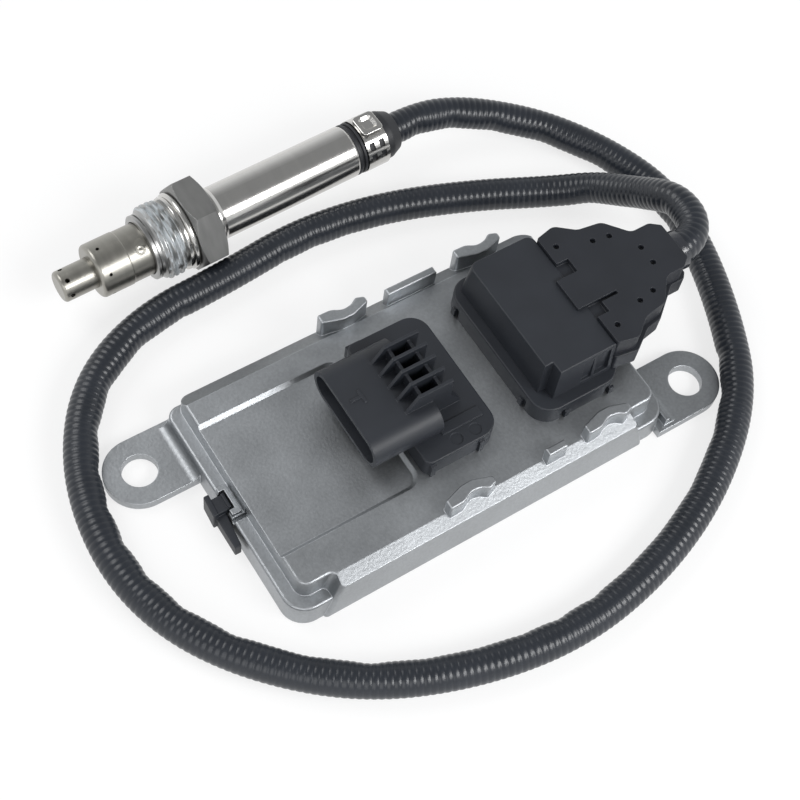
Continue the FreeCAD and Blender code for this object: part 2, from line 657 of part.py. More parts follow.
def make_power_socket():
    """Moulded socket: flange, spigot, stadium shell and its finned rear block."""
    body = eased(power_flange(LID_Z, FLANGE_Z), FLANGE_Z, FLANGE_EASE)
    spigot = opening(POWER_X, POWER_Y, POWER_L, POWER_W)
    gap = SLIDE_GAP
    x0, x1 = spigot[1][0] + gap, spigot[0][0] - gap
    y0, y1 = spigot[2][1] + gap, spigot[0][1] - gap
    body = body.fuse(prism(rect(x0, x1, y0, y1, 1.8), SPIGOT_Z, LID_Z + 0.5))
    rear = FIN_X0 + 4.2
    body = body.fuse(stadium(SHELL_W, SHELL_H, SHELL_X0, rear))
    fins = fin_rows()
    y_low, y_high = fins[0] - FIN_T / 2, fins[-1] + FIN_T / 2
    block = box(FIN_X0 - 1, FIN_X1, y_low, y_high, FLANGE_Z - 1, SHELL_Z + POCKET_FLOOR)
    body = body.fuse(block)
    body = body.cut(box(FIN_X0 + 0.8, FIN_X1 + 1, y_low, y_high, SHELL_Z + POCKET_FLOOR, FIN_Z + 1))
    for y in fins:
        body = body.fuse(fin(y))
    for x in (FIN_X0 + 0.8, FIN_X0 + 6.2):
        bar = box(x, x + FIN_T, y_low, y_high, SHELL_Z + POCKET_FLOOR - 0.5, FIN_Z - 1.5)
        body = body.fuse(bar)
    web = front_prism([(FIN_X1 - 0.1, FLANGE_Z - 0.5), (FIN_X1 + 3.2, FLANGE_Z - 0.5), (FIN_X1 + 3.2, FLANGE_Z + 0.8),
                       (FIN_X1 - 0.1, FLANGE_Z + 5.5)], y_low, y_low + 2.2)
    body = body.fuse(web)
    panel = box(FIN_X0 + 4.0, FIN_X1 + 6.0, y_low - 6.0, y_low - 3.4, FLANGE_Z - 0.5, FLANGE_Z + 0.4)
    body = body.fuse(panel)
    depth = SHELL_DEPTH
    body = body.cut(stadium(SHELL_W - 2 * SHELL_WALL, SHELL_H - 2 * SHELL_WALL, SHELL_X0 - 1, SHELL_X0 + depth))
    front = POWER_Y - POWER_W / 2
    back = POWER_Y + POWER_W / 2
    for x in (POWER_X - POWER_L / 2 + 1.6, POWER_X + 4.8):
        body = body.fuse(snap_rib(x, front, 1.4, 1.2, FLANGE_Z - 1.4))
    body = body.fuse(snap_rib(POWER_X - POWER_L / 2 + 2.6, back, 4.0, 1.2, FLANGE_Z - 1.4))
    for x in (POWER_X + 4.6, POWER_X - 0.7):
        body = body.cut(post(x, front + 2.7, FLANGE_Z - 0.3, FLANGE_Z + 1, 1.6))
    top = SHELL_Z + SHELL_H / 2
    stem = box(SHELL_X0 + 2.1, SHELL_X0 + 5.2, SHELL_Y + 0.9, SHELL_Y + 1.6, top - 0.3, top + 0.3)
    head = box(SHELL_X0 + 4.8, SHELL_X0 + 5.5, SHELL_Y - 0.6, SHELL_Y + 3.0, top - 0.3, top + 0.3)
    body = body.fuse(stem).fuse(head)
    groove = power_flange(LID_Z - 1, LID_Z + SEAL_H, SEAL_EDGE)
    core = power_flange(LID_Z - 2, LID_Z + SEAL_H + 1, SEAL_EDGE + SEAL_W)
    body = body.cut(groove.cut(core))
    for i in range(FIN_COUNT - 1):
        body = body.cut(power_blade(i))
    return body.removeSplitter()


def power_blade(index):
    """One flat contact: straight in the mouth, then down to the board."""
    y = blade_rows()[index]
    x0 = SHELL_X0 + BLADE_SET
    x1 = BLADE_X + BLADE_T / 2
    across = box(x0, x1, y - BLADE_W / 2, y + BLADE_W / 2, SHELL_Z - BLADE_T / 2, SHELL_Z + BLADE_T / 2)
    down = box(x1 - BLADE_T, x1, y - BLADE_W / 2, y + BLADE_W / 2, BOARD_Z - 1.0, SHELL_Z)
    return across.fuse(down).removeSplitter()


def make_power_seal():
    """Flat ring in the groove under the socket's flange."""
    ring = power_flange(LID_Z, LID_Z + SEAL_H, SEAL_EDGE + 0.1)
    return ring.cut(power_flange(LID_Z - 1, LID_Z + SEAL_H + 1, SEAL_EDGE + SEAL_W - 0.1))


# Probe header, plug and seal

def head_flange(z0, z1, inset=0.0):
    """Flange block of the probe header."""
    half_x = HEAD_L / 2 - inset
    half_y = HEAD_W / 2 - inset
    return prism(rect(HEAD_X - half_x, HEAD_X + half_x, HEAD_Y - half_y, HEAD_Y + half_y,
                      max(HEAD_R - inset, 1.2)), z0, z1)


def inside_plug(inset):
    """Limits of a plan rectangle inside the plug's skirt."""
    step = PLUG_WALL + inset + PLUG_DRAFT
    return (PLUG_X0 + step + PLUG_KEY_X - PLUG_DRAFT, PLUG_X1 - PLUG_WALL - inset,
            PLUG_Y0 + step, PLUG_Y1 - step)


def plug_box(inset, z0, z1, radius=1.2):
    """Upright block inside the plug's skirt."""
    x0, x1, y0, y1 = inside_plug(inset)
    return prism(rect(x0, x1, y0, y1, radius), z0, z1)


SHROUD_TOP = PLUG_Z - PLUG_ROOF - 0.4
SHROUD_FLOOR = FLANGE_Z + 0.6
CORE_INSET = SHROUD_GAP + SHROUD_WALL + CORE_GAP


def make_probe_header():
    """Moulded header: flange, spigot and the open shroud round the pins."""
    body = eased(head_flange(LID_Z, FLANGE_Z), FLANGE_Z, FLANGE_EASE)
    hole = opening(HEAD_X, HEAD_Y, HEAD_L, HEAD_W)
    gap = SLIDE_GAP
    x0, x1 = hole[1][0] + gap, hole[0][0] - gap
    y0, y1 = hole[2][1] + gap, hole[0][1] - gap
    body = body.fuse(prism(rect(x0, x1, y0, y1, 1.8), SPIGOT_Z, LID_Z + 0.5))
    body = body.fuse(plug_box(SHROUD_GAP, FLANGE_Z - 1, SHROUD_TOP, 2.0))
    body = body.cut(plug_box(SHROUD_GAP + SHROUD_WALL, SHROUD_FLOOR, SHROUD_TOP + 1))
    groove = head_flange(LID_Z - 1, LID_Z + SEAL_H, SEAL_EDGE)
    core = head_flange(LID_Z - 2, LID_Z + SEAL_H + 1, SEAL_EDGE + SEAL_W)
    body = body.cut(groove.cut(core))
    left = HEAD_X - HEAD_L / 2
    front = HEAD_Y - HEAD_W / 2
    for y in (HEAD_Y + 0.354 * HEAD_W, HEAD_Y - 0.335 * HEAD_W):
        body = body.cut(box(left - 1, left + 0.7, y - 0.6, y + 0.6, LID_Z - 1, LID_Z + 3.6))
        body = body.fuse(box(left - 0.4, left + 0.3, y + 0.6, y + 2.0, LID_Z, LID_Z + 2.4))
    for x in (HEAD_X - 0.228 * HEAD_L, HEAD_X + 0.309 * HEAD_L):
        body = body.cut(box(x - 0.6, x + 0.6, front - 1, front + 0.7, LID_Z - 1, LID_Z + 3.6))
        body = body.fuse(box(x + 0.6, x + 2.0, front - 0.4, front + 0.3, LID_Z, LID_Z + 2.4))
    for x, y in header_places():
        body = body.cut(header_pin(x, y))
    return body.removeSplitter()


def header_pin(x, y):
    """Square pin from under the board up into the shroud, with a pyramid point."""
    half = PIN_T / 2
    top = SHROUD_TOP - 1.4
    shaft = box(x - half, x + half, y - half, y + half, BOARD_Z - 1.0, top)
    tip = Part.makeLoft([outline(rect(x - half, x + half, y - half, y + half, 0), flat_at(top)),
                         outline(rect(x - half / 3, x + half / 3, y - half / 3, y + half / 3, 0),
                                 flat_at(top + 0.9))], True, True)
    return shaft.fuse(tip)


def make_header_seal():
    """Flat ring in the groove under the header's flange."""
    ring = head_flange(LID_Z, LID_Z + SEAL_H, SEAL_EDGE + 0.1)
    return ring.cut(head_flange(LID_Z - 1, LID_Z + SEAL_H + 1, SEAL_EDGE + SEAL_W - 0.1))


def plug_outline(inset):
    """Plan of the plug with its keyed front-left corner."""
    x0, x1 = PLUG_X0 + inset, PLUG_X1
    y0, y1 = PLUG_Y0 + inset, PLUG_Y1 - inset
    return [(x1, y1, 2.2), (x0, y1, 2.2), (x0, y0 + PLUG_KEY_Y), (x0 + PLUG_KEY_X, y0 + PLUG_KEY_Y),
            (x0 + PLUG_KEY_X, y0), (x1, y0)]


def make_probe_plug():
    """Plug cap over the shroud, with the core that carries the sockets."""
    body = tapered(plug_outline(0), FLANGE_Z, plug_outline(PLUG_DRAFT), PLUG_Z)
    body = eased(body, PLUG_Z, PLUG_EASE)
    body = body.cut(plug_box(0, FLANGE_Z - 1, PLUG_Z - PLUG_ROOF, 2.4))
    body = body.fuse(plug_box(CORE_INSET, SHROUD_FLOOR + 0.4, PLUG_Z - PLUG_ROOF + 0.5))
    half = PIN_T / 2 + 0.12
    for x, y in header_places():
        body = body.cut(box(x - half, x + half, y - half, y + half, FLANGE_Z, SHROUD_TOP - 0.3))
    front = PLUG_Y0
    right = PLUG_X1
    for x0, x1, depth in ((right - 9.2, right - 6.2, 0.5), (right - 5.4, right - 1.2, 0.9)):
        body = body.cut(box(x0, x1, front - 1, front + depth + 0.3, FLANGE_Z + 1.2, PLUG_Z - 1.2))
    return body.removeSplitter()


def make_plug_seal():
    """Ring packed between the plug's core and the shroud."""
    z0 = SHROUD_FLOOR + 2.0
    ring = plug_box(SHROUD_GAP + SHROUD_WALL, z0, z0 + 2.4)
    return ring.cut(plug_box(CORE_INSET, z0 - 1, z0 + 3.4))


# Cable hood

def mirrored(half):
    """Closed plan from a half outline given as (x, distance from the hood's centre, radius)."""
    upper = [(p[0], HOOD_Y + p[1], p[2]) for p in half]
    lower = [(p[0], HOOD_Y - p[1], p[2]) for p in reversed(half)]
    return lower + upper


def hood_half_upper(inset):
    """Waved half outline of the upper shell."""
    x0, x1 = HOOD_X0 + inset, HOOD_X1 - inset
    soft = 0.3 if inset else 1.0
    return [(x1, 5.4 - inset / 2, 0.8 * soft), (x1 - 2.6, 7.4 - inset, 2.0 * soft),
            (x1 - 8.0, 7.4 - inset, 2.6 * soft), (x1 - 13.0, 13.4 - inset, 3.0 * soft),
            (x1 - 19.6, 14.4 - inset, 3.6 * soft), (x1 - 24.4, 18.2 - inset, 2.6 * soft),
            (x0, 17.0 - inset, 0.8 * soft)]


def hood_half_lower(inset):
    """Faceted half outline of the lower shell, a little wider than the waves above."""
    x0, x1 = HOOD_X0 + inset, HOOD_X1 - inset
    soft = 0.3 if inset else 1.0
    return [(x1, 6.4 - inset / 2, 0.8 * soft), (x1 - 1.4, 7.9 - inset, 1.0 * soft),
            (x1 - 5.4, 7.9 - inset, 1.4 * soft), (x1 - 13.6, 14.4 - inset, 1.4 * soft),
            (x1 - 18.2, 15.2 - inset, 1.4 * soft), (x1 - 23.8, 19.0 - inset, 1.4 * soft),
            (x0, 18.0 - inset, 0.8 * soft)]


def hood_passage(x0, x1):
    """Round way for the leads at the hood's end."""
    return Part.makeCylinder(CORD_R - 0.8, x1 - x0, V(x0, CORD_ROUTE[0][1], CORD_Z), V(1, 0, 0))


def dimple_places():
    """Plan places of the blind holes in the upper shell."""
    half = [(2.9, 12.8), (11.9, 9.9), (16.4, 9.1), (21.4, 2.5)]
    return [(HOOD_X0 + dx, HOOD_Y + side * dy) for dx, dy in half for side in (1, -1)]


def make_hood_upper():
    """Upper shell: waved wall, top plate, latch tongue and blind holes."""
    body = prism(mirrored(hood_half_upper(0)), CORD_Z, HOOD_Z1)
    body = body.cut(prism(mirrored(hood_half_upper(HOOD_WALL)), CORD_Z - 1, HOOD_Z1 - HOOD_WALL))
    body = body.cut(hood_passage(HOOD_X1 - 3 * HOOD_WALL, HOOD_X1 + 1))
    lip = 3.4
    for side in (1, -1):
        near = HOOD_Y - 0.1 + side * (TONGUE_HALF)
        far = HOOD_Y - 0.1 + side * (TONGUE_HALF + 4.0)
        body = body.cut(box(HOOD_X0 - 1, HOOD_X0 + lip, min(near, far), max(near, far), PLUG_Z - 0.4, HOOD_Z1 + 1))
    tongue = box(HOOD_X0 - TONGUE_L, HOOD_X0 + lip + 1, HOOD_Y - 0.1 - TONGUE_HALF, HOOD_Y - 0.1 + TONGUE_HALF,
                 PLUG_Z, HOOD_Z1)
    body = body.fuse(tongue)
    slit_y = HOOD_Y - 0.1 - TONGUE_HALF
    body = body.cut(box(HOOD_X0 + lip - 0.1, HOOD_X0 + lip + 5.0, slit_y - 0.9, slit_y, PLUG_Z - 0.4, HOOD_Z1 + 1))
    for x, y in dimple_places():
        body = body.cut(post(x, y, HOOD_Z1 - DIMPLE_DEPTH, HOOD_Z1 + 1, DIMPLE_R))
    return body.removeSplitter()


def make_hood_lower():
    """Lower shell with two ribs that grip the conduit's leads."""
    body = prism(mirrored(hood_half_lower(0)), HOOD_Z0, CORD_Z)
    body = body.cut(prism(mirrored(hood_half_lower(HOOD_WALL)), HOOD_Z0 + HOOD_WALL, CORD_Z + 1))
    body = body.cut(hood_passage(HOOD_X1 - 3 * HOOD_WALL, HOOD_X1 + 1))
    return body.removeSplitter()


def make_hood_lead(index):
    """One insulated lead across the hood, from the conduit to the plug."""
    angle = 2 * math.pi * (index + 0.5) / LEAD_COUNT
    start = V(HOOD_X1 - TOUCH, CORD_ROUTE[0][1] + 2.2 * math.cos(angle), CORD_Z + 2.2 * math.sin(angle))
    row = index % PIN_COLS
    level = 1.1 if math.sin(angle) > 0 else -1.1
    order = math.cos(angle) / math.cos(math.pi / LEAD_COUNT)
    spread = (PIN_COLS - 0.5) * PIN_PITCH_Y / 2.4
    end = V(HOOD_X0 + HOOD_WALL + TOUCH * 2, HOOD_Y + order * spread, CORD_Z + level * 1.2)
    way = end - start
    return Part.makeCylinder(LEAD_R, way.Length, start, way)


# Edge clip

def make_edge_clip():
    """Black clip hung on the cast loop: outer plate, bridge and tapered arm."""
    outer_x = -RIM_HALF_L - CLIP_OUT
    inner_x = outer_x + CLIP_T
    rear = CLIP_Y + CLIP_W / 2
    front = CLIP_Y - CLIP_W / 2
    top = RIM_Z + 0.9
    plate = box(outer_x, inner_x, front - 1.0, rear + 0.8, RIM_Z - 5.4, top)
    bridge = box(inner_x - 0.2, -RIM_HALF_L + 1.3, front, rear, RIM_Z - 2.0, RIM_Z + 0.4)
    hook = box(-RIM_HALF_L + 0.2, -RIM_HALF_L + 1.3, front, rear, RIM_Z - 2.0, RIM_Z + 1.2)
    y1 = front + 0.5
    wide = inner_x + CLIP_ARM_W
    arm = prism([(wide, y1), (outer_x + 0.6, y1), (outer_x + 0.9, y1 - CLIP_ARM, 0.3),
                 (outer_x + 2.0, y1 - CLIP_ARM, 0.3)], RIM_Z - 5.0, RIM_Z - 0.8)
    return plate.fuse(bridge).fuse(hook).fuse(arm).removeSplitter()


# Conduit

def probe_point(station, y=0.0, z=0.0):
    """Point of the probe given along its axis, in the part's frame."""
    yaw = math.radians(PROBE_YAW)
    return V(PROBE_TIP.x + station * math.cos(yaw) - y * math.sin(yaw),
             PROBE_TIP.y + station * math.sin(yaw) + y * math.cos(yaw), PROBE_Z + z)


def cord_points():
    """All route points, ending straight into the boot."""
    run = probe_point(BOOT_X1 + BOOT_RUN)
    end = probe_point(BOOT_X1)
    return [V(*p) for p in CORD_ROUTE] + [run, end]


def cord_path(points):
    """Straight runs joined by tangent arcs; also the radii and the length."""
    edges, radii, length = [], [], 0.0
    last = points[0]
    for i in range(1, len(points) - 1):
        before, at, after = points[i - 1], points[i], points[i + 1]
        into = (before - at)
        out = (after - at)
        shorter = min(into.Length, out.Length)
        into.normalize()
        out.normalize()
        turn = math.pi - math.acos(max(-1.0, min(1.0, into.dot(out))))
        reach = 0.45 * shorter
        radius = reach / math.tan(turn / 2)
        start = at + into * reach
        end = at + out * reach
        toward = (into + out).normalize()
        middle = at + toward * (radius / math.cos(turn / 2) - radius)
        edges.append(Part.LineSegment(last, start).toShape())
        edges.append(Part.Arc(start, middle, end).toShape())
        length += (start - last).Length + radius * turn
        radii.append(radius)
        last = end
    edges.append(Part.LineSegment(last, points[-1]).toShape())
    length += (points[-1] - last).Length
    return Part.Wire(edges), radii, length


def make_conduit():
    """The conduit as a plain round tube along its route."""
    points = cord_points()
    path, radii, length = cord_path(points)
    circle = Part.makeCircle(CORD_R, points[0], points[1] - points[0])
    tube = path.makePipeShell([Part.Wire([circle])], True, False)
    ideal = math.pi * CORD_R ** 2 * length
    print("conduit length", round(length, 1), "volume against section x length",
          round(tube.Volume / ideal, 4))
    print("conduit bend radii", [round(r, 1) for r in radii])
    return tube


def make_conduit_wrap():
    """Short shrunk sleeve round the conduit where it leaves the hood."""
    start = V(HOOD_X1, CORD_ROUTE[0][1], CORD_Z)
    outer = Part.makeCylinder(CORD_R + WRAP_T, WRAP_L, start, V(1, 0, 0))
    return outer.cut(Part.makeCylinder(CORD_R, WRAP_L + 2, start - V(1, 0, 0), V(1, 0, 0)))


# Probe

def lay(shape):
    """Turn a piece built along +X from the tip into its place on the bench."""
    shape.rotate(V(0, 0, 0), V(0, 0, 1), PROBE_YAW)
    shape.translate(V(PROBE_TIP.x, PROBE_TIP.y, PROBE_Z))
    return shape


def turned(profile):
    """Solid of revolution about the probe's axis from (station, radius, corner) points."""
    wire = outline(profile, lambda p: V(p.x, 0, p.y))
    return Part.Face(wire).revolve(V(0, 0, 0), V(1, 0, 0), 360)


def bar(x0, x1, radius):
    """Round bar on the probe's axis."""
    return Part.makeCylinder(radius, x1 - x0, V(x0, 0, 0), V(1, 0, 0))


def gas_holes(station, radius, count, reach, phase):
    """Radial drills spaced round the axis."""
    drills = []
    for i in range(count):
        angle = math.radians(phase + i * 360.0 / count)
        drills.append(Part.makeCylinder(radius, reach, V(station, 0, 0), V(0, -math.sin(angle), math.cos(angle))))
    return drills


def make_inner_protection_tube():
    """Slim drawn cup at the tip, with gas holes and a rear flange."""
    inner = TIP_R - SHEET
    flange_x = TIP_L + GUARD_L + GUARD_SEAT
    rim = GUARD_R - GUARD_DRAW - SHEET - FIT
    profile = [(0, 0), (0, TIP_R, 0.9), (flange_x - SHEET, TIP_R), (flange_x - SHEET, rim),
               (flange_x, rim), (flange_x, inner), (SHEET, inner, 0.5), (SHEET, 0)]
    cup = turned(profile)
    for drill in gas_holes(2.0, 0.6, 6, TIP_R + 1, 23):
        cup = cup.cut(drill)
    return lay(cup)


def make_outer_protection_tube():
    """Wider drawn tube with rolled shoulder, seam step, gas holes and dimples."""
    x1 = BODY_X0 + GUARD_SEAT
    seam = GUARD_X0 + GUARD_STEP
    big, small = GUARD_R, GUARD_R - GUARD_DRAW
    profile = [(GUARD_X0, TIP_R + FIT), (GUARD_X0, big, 1.0), (seam, big), (seam + 0.3, small), (x1, small),
               (x1, small - SHEET), (GUARD_X0 + SHEET, small - SHEET, 0.5), (GUARD_X0 + SHEET, TIP_R + FIT)]
    tube = turned(profile)
    for drill in gas_holes(TIP_L + 2.7, 0.45, 6, GUARD_R + 1, 53):
        tube = tube.cut(drill)
    angle = math.radians(23)
    for i in range(3):
        turn = angle + i * 2 * math.pi / 3
        way = V(0, -math.sin(turn), math.cos(turn))
        start = V(TIP_L + 12.6, 0, 0) + way * (small - 0.25)
        ring = Part.makeCylinder(1.5, 1, start, way).cut(Part.makeCylinder(0.75, 1, start, way))
        tube = tube.cut(ring)
    return lay(tube)


def hexagon(x0, x1, across):
    """Hexagonal bar along the axis, resting on a flat."""
    corner_r = across / math.sqrt(3)
    points = [(corner_r * math.cos(math.radians(60 * i)), corner_r * math.sin(math.radians(60 * i)))
              for i in range(6)]
    face = Part.Face(outline(points, lambda p: V(x0, p.x, p.y)))
    return face.extrude(V(x1 - x0, 0, 0))


def make_hex_body():
    """Turned body: pilot, thread, neck, chamfered hexagon and rear spigot."""
    corner_r = HEX_AF / math.sqrt(3)
    cut = (corner_r - HEX_AF / 2) * 0.9
    crown = turned([(HEX_X0, 0), (HEX_X0, HEX_AF / 2 - 0.1), (HEX_X0 + cut * 0.6, corner_r + 0.1),
                    (HEX_X1 - cut * 0.6, corner_r + 0.1), (HEX_X1, HEX_AF / 2 - 0.1), (HEX_X1, 0)])
    body = hexagon(HEX_X0, HEX_X1, HEX_AF).common(crown)
    split = BODY_X0 + 0.45 * PILOT_L
    shank = [(BODY_X0, 0), (BODY_X0, PILOT_R, 0.3), (split, PILOT_R), (split, PILOT_R - 0.4),
             (split + 0.3, PILOT_R - 0.4), (split + 0.3, PILOT_R), (THREAD_X0, PILOT_R),
             (THREAD_X0 + (THREAD_R - PILOT_R), THREAD_R), (NECK_X0 - 0.6, THREAD_R), (NECK_X0, NECK_R),
             (HEX_X0 + 0.5, NECK_R), (HEX_X0 + 0.5, 0)]
    body = body.fuse(turned(shank))
    body = body.fuse(bar(HEX_X1 - 0.5, SPIGOT_X1, SLEEVE_IN - FIT))
    body = body.cut(bar(BODY_X0 - 1, LIP_X0, GUARD_R + FIT))
    body = body.cut(bar(LIP_X0 - 0.5, LIP_X0 + 2, LIP_R))
    body = body.cut(bar(BUSH_X0, SPIGOT_X1 + 1, BODY_BORE_R))
    return lay(body.removeSplitter())


def make_sealing_ring():
    """Captive ring between thread and hexagon."""
    x1 = HEX_X0
    x0 = x1 - RING_T
    profile = [(x0, NECK_R + 0.1, 0.3), (x0, RING_R, 0.6), (x1, RING_R, 0.6), (x1, NECK_R + 0.1, 0.3)]
    return lay(turned(profile))


def make_probe_sleeve():
    """Long steel sleeve over the body's spigot, flared at the hexagon."""
    r = SLEEVE_R
    flare = r + SLEEVE_FLARE
    profile = [(HEX_X1, SLEEVE_IN), (HEX_X1, flare, 0.3), (HEX_X1 + SLEEVE_FLARE_L, flare, 0.4),
               (HEX_X1 + SLEEVE_FLARE_L + 1.0, r), (SLEEVE_X1 - 0.6, r), (SLEEVE_X1, r - 0.25), (SLEEVE_X1, SLEEVE_IN)]
    return lay(turned(profile))


def element_slot(x0, x1):
    """Clearance slot for the sensing element."""
    gap = 0.1
    return box(x0, x1, -ELEMENT_W / 2 - gap, ELEMENT_W / 2 + gap, -ELEMENT_T / 2 - gap, ELEMENT_T / 2 + gap)


def make_sensing_element():
    """Flat ceramic strip from the tip to the contact holder."""
    strip = box(ELEMENT_TIP, HOLDER_X0 + 6.0, -ELEMENT_W / 2, ELEMENT_W / 2, -ELEMENT_T / 2, ELEMENT_T / 2)
    return lay(strip)


def make_bush(x0, x1):
    """Round packing piece on the element, inside the body's bore."""
    piece = bar(x0, x1, BODY_BORE_R - FIT).cut(element_slot(x0 - 1, x1 + 1))
    return lay(piece)


def make_contact_holder():
    """Ceramic holder that presses the contacts on the element's end."""
    piece = bar(HOLDER_X0, HOLDER_X1, SLEEVE_IN - FIT)
    piece = piece.cut(element_slot(HOLDER_X0 - 1, HOLDER_X0 + 6.2))
    for side in (1, -1):
        flat = box(HOLDER_X0 + 7, HOLDER_X1 - 2, -SLEEVE_IN, SLEEVE_IN, side * (SLEEVE_IN - 1.0),
                   side * SLEEVE_IN + side) if side > 0 else box(HOLDER_X0 + 7, HOLDER_X1 - 2, -SLEEVE_IN,
                   SLEEVE_IN, -SLEEVE_IN - 1, -SLEEVE_IN + 1.0)
        piece = piece.cut(flat)
    return lay(piece)


def make_probe_lead(index):
    """One insulated lead from the contact holder to the grommet."""
    angle = 2 * math.pi * (index + 0.5) / LEAD_COUNT
    x0 = HOLDER_X1
    x1 = SLEEVE_X1 - GROMMET_IN
    return lay(Part.makeCylinder(LEAD_R, x1 - x0, V(x0, 3.6 * math.cos(angle), 3.6 * math.sin(angle)), V(1, 0, 0)))


def make_cable_grommet():
    """Rubber plug in the sleeve's end, grooved where it shows, with a tail under the boot."""
    x0 = SLEEVE_X1 - GROMMET_IN
    ridge = BOOT_R + 0.45
    tail = CLAMP_X0 + CLAMP_W - 1.0
    base = BOOT_R - 0.2
    groove = SLEEVE_X1 + 0.4 * GROMMET_OUT
    profile = [(x0, 0), (x0, SLEEVE_IN - FIT, 0.4), (SLEEVE_X1, SLEEVE_IN - FIT), (SLEEVE_X1, ridge, 0.3),
               (groove, ridge, 0.3), (groove, base, 0.15), (groove + 0.6, base, 0.15),
               (groove + 0.6, ridge, 0.3), (CLAMP_X0, ridge, 0.3), (CLAMP_X0, CORD_R),
               (tail, CORD_R), (tail, 0)]
    return lay(turned(profile))


def make_conduit_boot():
    """Rubber boot over the grommet's tail, narrowing to the conduit."""
    tail = CLAMP_X0 + CLAMP_W - 1.0
    profile = [(CLAMP_X0, CORD_R + FIT), (CLAMP_X0, BOOT_R), (CLAMP_X0 + CLAMP_W + 2.0, BOOT_R, 1.4),
               (BOOT_X1, BOOT_END_R, 0.6), (BOOT_X1, CORD_R - 1.2),
               (tail, CORD_R - 1.2), (tail, CORD_R + FIT)]
    return lay(turned(profile))


def make_band_clamp():
    """Steel band with its closed ear on top, an oval dimple in the ear and two tongue windows."""
    x0 = CLAMP_X0 + 0.2
    x1 = CLAMP_X0 + CLAMP_W
    inner = BOOT_R + FIT / 2
    outer = inner + CLAMP_T
    top = outer + CLAMP_EAR
    half = 0.5 * BOOT_R
    band = bar(x0, x1, outer)
    ear = prism(rect(x0 + 0.2, x1 - 0.2, -half, half, 1.2), outer - 1.6, top)
    body = band.fuse(eased(ear, top, 0.3)).cut(bar(x0 - 1, x1 + 1, inner))
    floor = rect(x0 + 2.0, x1 - 2.0, -half + 1.9, half - 1.9, 0.6)
    brim = rect(x0 + 1.2, x1 - 1.2, -half + 1.1, half - 1.1, 1.4)
    body = body.cut(tapered(floor, top - 0.7, brim, top + 0.01))
    mid = (x0 + x1) / 2
    for dx in (-1.6, 1.4):
        for turn in (48, 74):
            window = box(mid + dx - 0.8, mid + dx + 0.8, -1.1, 1.1, inner - 0.2, outer + 1)
            window.rotate(V(0, 0, 0), V(1, 0, 0), turn)
            body = body.cut(window)
    return lay(body.removeSplitter())


def main():
    """Build and write every piece."""
    save("housing", make_housing())
    save("bottom_cover", make_bottom_cover())
    save("cover_seal", make_cover_seal())
    save("circuit_board", make_circuit_board())
    for i, (x, y) in enumerate(POSTS):
        save("board_screw_%d" % (i + 1), make_board_screw(x, y))
    end = LID_HALF_L - WALL - BOARD_GAP
    side = HALF_W - WALL - BOARD_GAP
    save("processor_chip", make_chip(-0.55 * end, 0.06 * side, CHIP_W, CHIP_W, 1.6))
    save("heater_driver", make_chip(-0.55 * end, 0.06 * side + CHIP_W, 8.0, 6.0, 1.4))
    save("supply_capacitor", make_capacitor(-end + CAN_R + 1.6, -0.1 * side, CAN_R, 4.5 * CAN_R))
    save("supply_choke", make_chip(-0.42 * end, 0.06 * side - CHIP_W, 7.0, 7.0, 3.2))
    save("power_socket", make_power_socket())
    for i in range(FIN_COUNT - 1):
        save("power_blade_%d" % (i + 1), power_blade(i))
    save("power_socket_seal", make_power_seal())
    save("probe_header", make_probe_header())
    for i, (x, y) in enumerate(header_places()):
        save("header_pin_%d" % (i + 1), header_pin(x, y))
    save("probe_header_seal", make_header_seal())
    save("probe_plug", make_probe_plug())
    save("plug_seal", make_plug_seal())
    save("hood_upper", make_hood_upper())
    save("hood_lower", make_hood_lower())
    save("hood_leads", Part.makeCompound([make_hood_lead(i) for i in range(LEAD_COUNT)]))
    save("edge_clip", make_edge_clip())
    save("conduit", make_conduit())
    save("conduit_wrap", make_conduit_wrap())
    save("inner_protection_tube", make_inner_protection_tube())
    save("outer_protection_tube", make_outer_protection_tube())
    save("hex_body", make_hex_body())
    save("sealing_ring", make_sealing_ring())
    save("probe_sleeve", make_probe_sleeve())
    save("sensing_element", make_sensing_element())
    save("front_bush", make_bush(BUSH_X0, TALC_X0))
    save("talc_packing", make_bush(TALC_X0, REAR_BUSH_X0))
    save("rear_bush", make_bush(REAR_BUSH_X0, REAR_BUSH_X0 + REAR_BUSH_L))
    save("contact_holder", make_contact_holder())
    save("probe_leads", Part.makeCompound([make_probe_lead(i) for i in range(LEAD_COUNT)]))
    save("cable_grommet", make_cable_grommet())
    save("conduit_boot", make_conduit_boot())
    save("band_clamp", make_band_clamp())


if __name__ == "__main__":
    main()
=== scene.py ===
"""Looks, stage and camera for the nitrogen oxide sensor.

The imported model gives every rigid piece. This script dresses those pieces with finishes, rounds the
edges of the mouldings and the boot on copies that stand for them, and makes the ribbed conduit, the
threaded hex body, its sealing ring, the guard tube's pressed ring and the edge clip as surfaces of
their own.
X runs along the casting, Y towards the probe and Z up from the mounting plane. Meshes and finishes
are in metres. Sizes whose description says mm are turned into metres by MM.
"""
import logging
import math
from dataclasses import dataclass
from enum import Enum
from typing import Sequence

import bmesh
import bpy
import numpy as np
from mathutils import Matrix, Vector


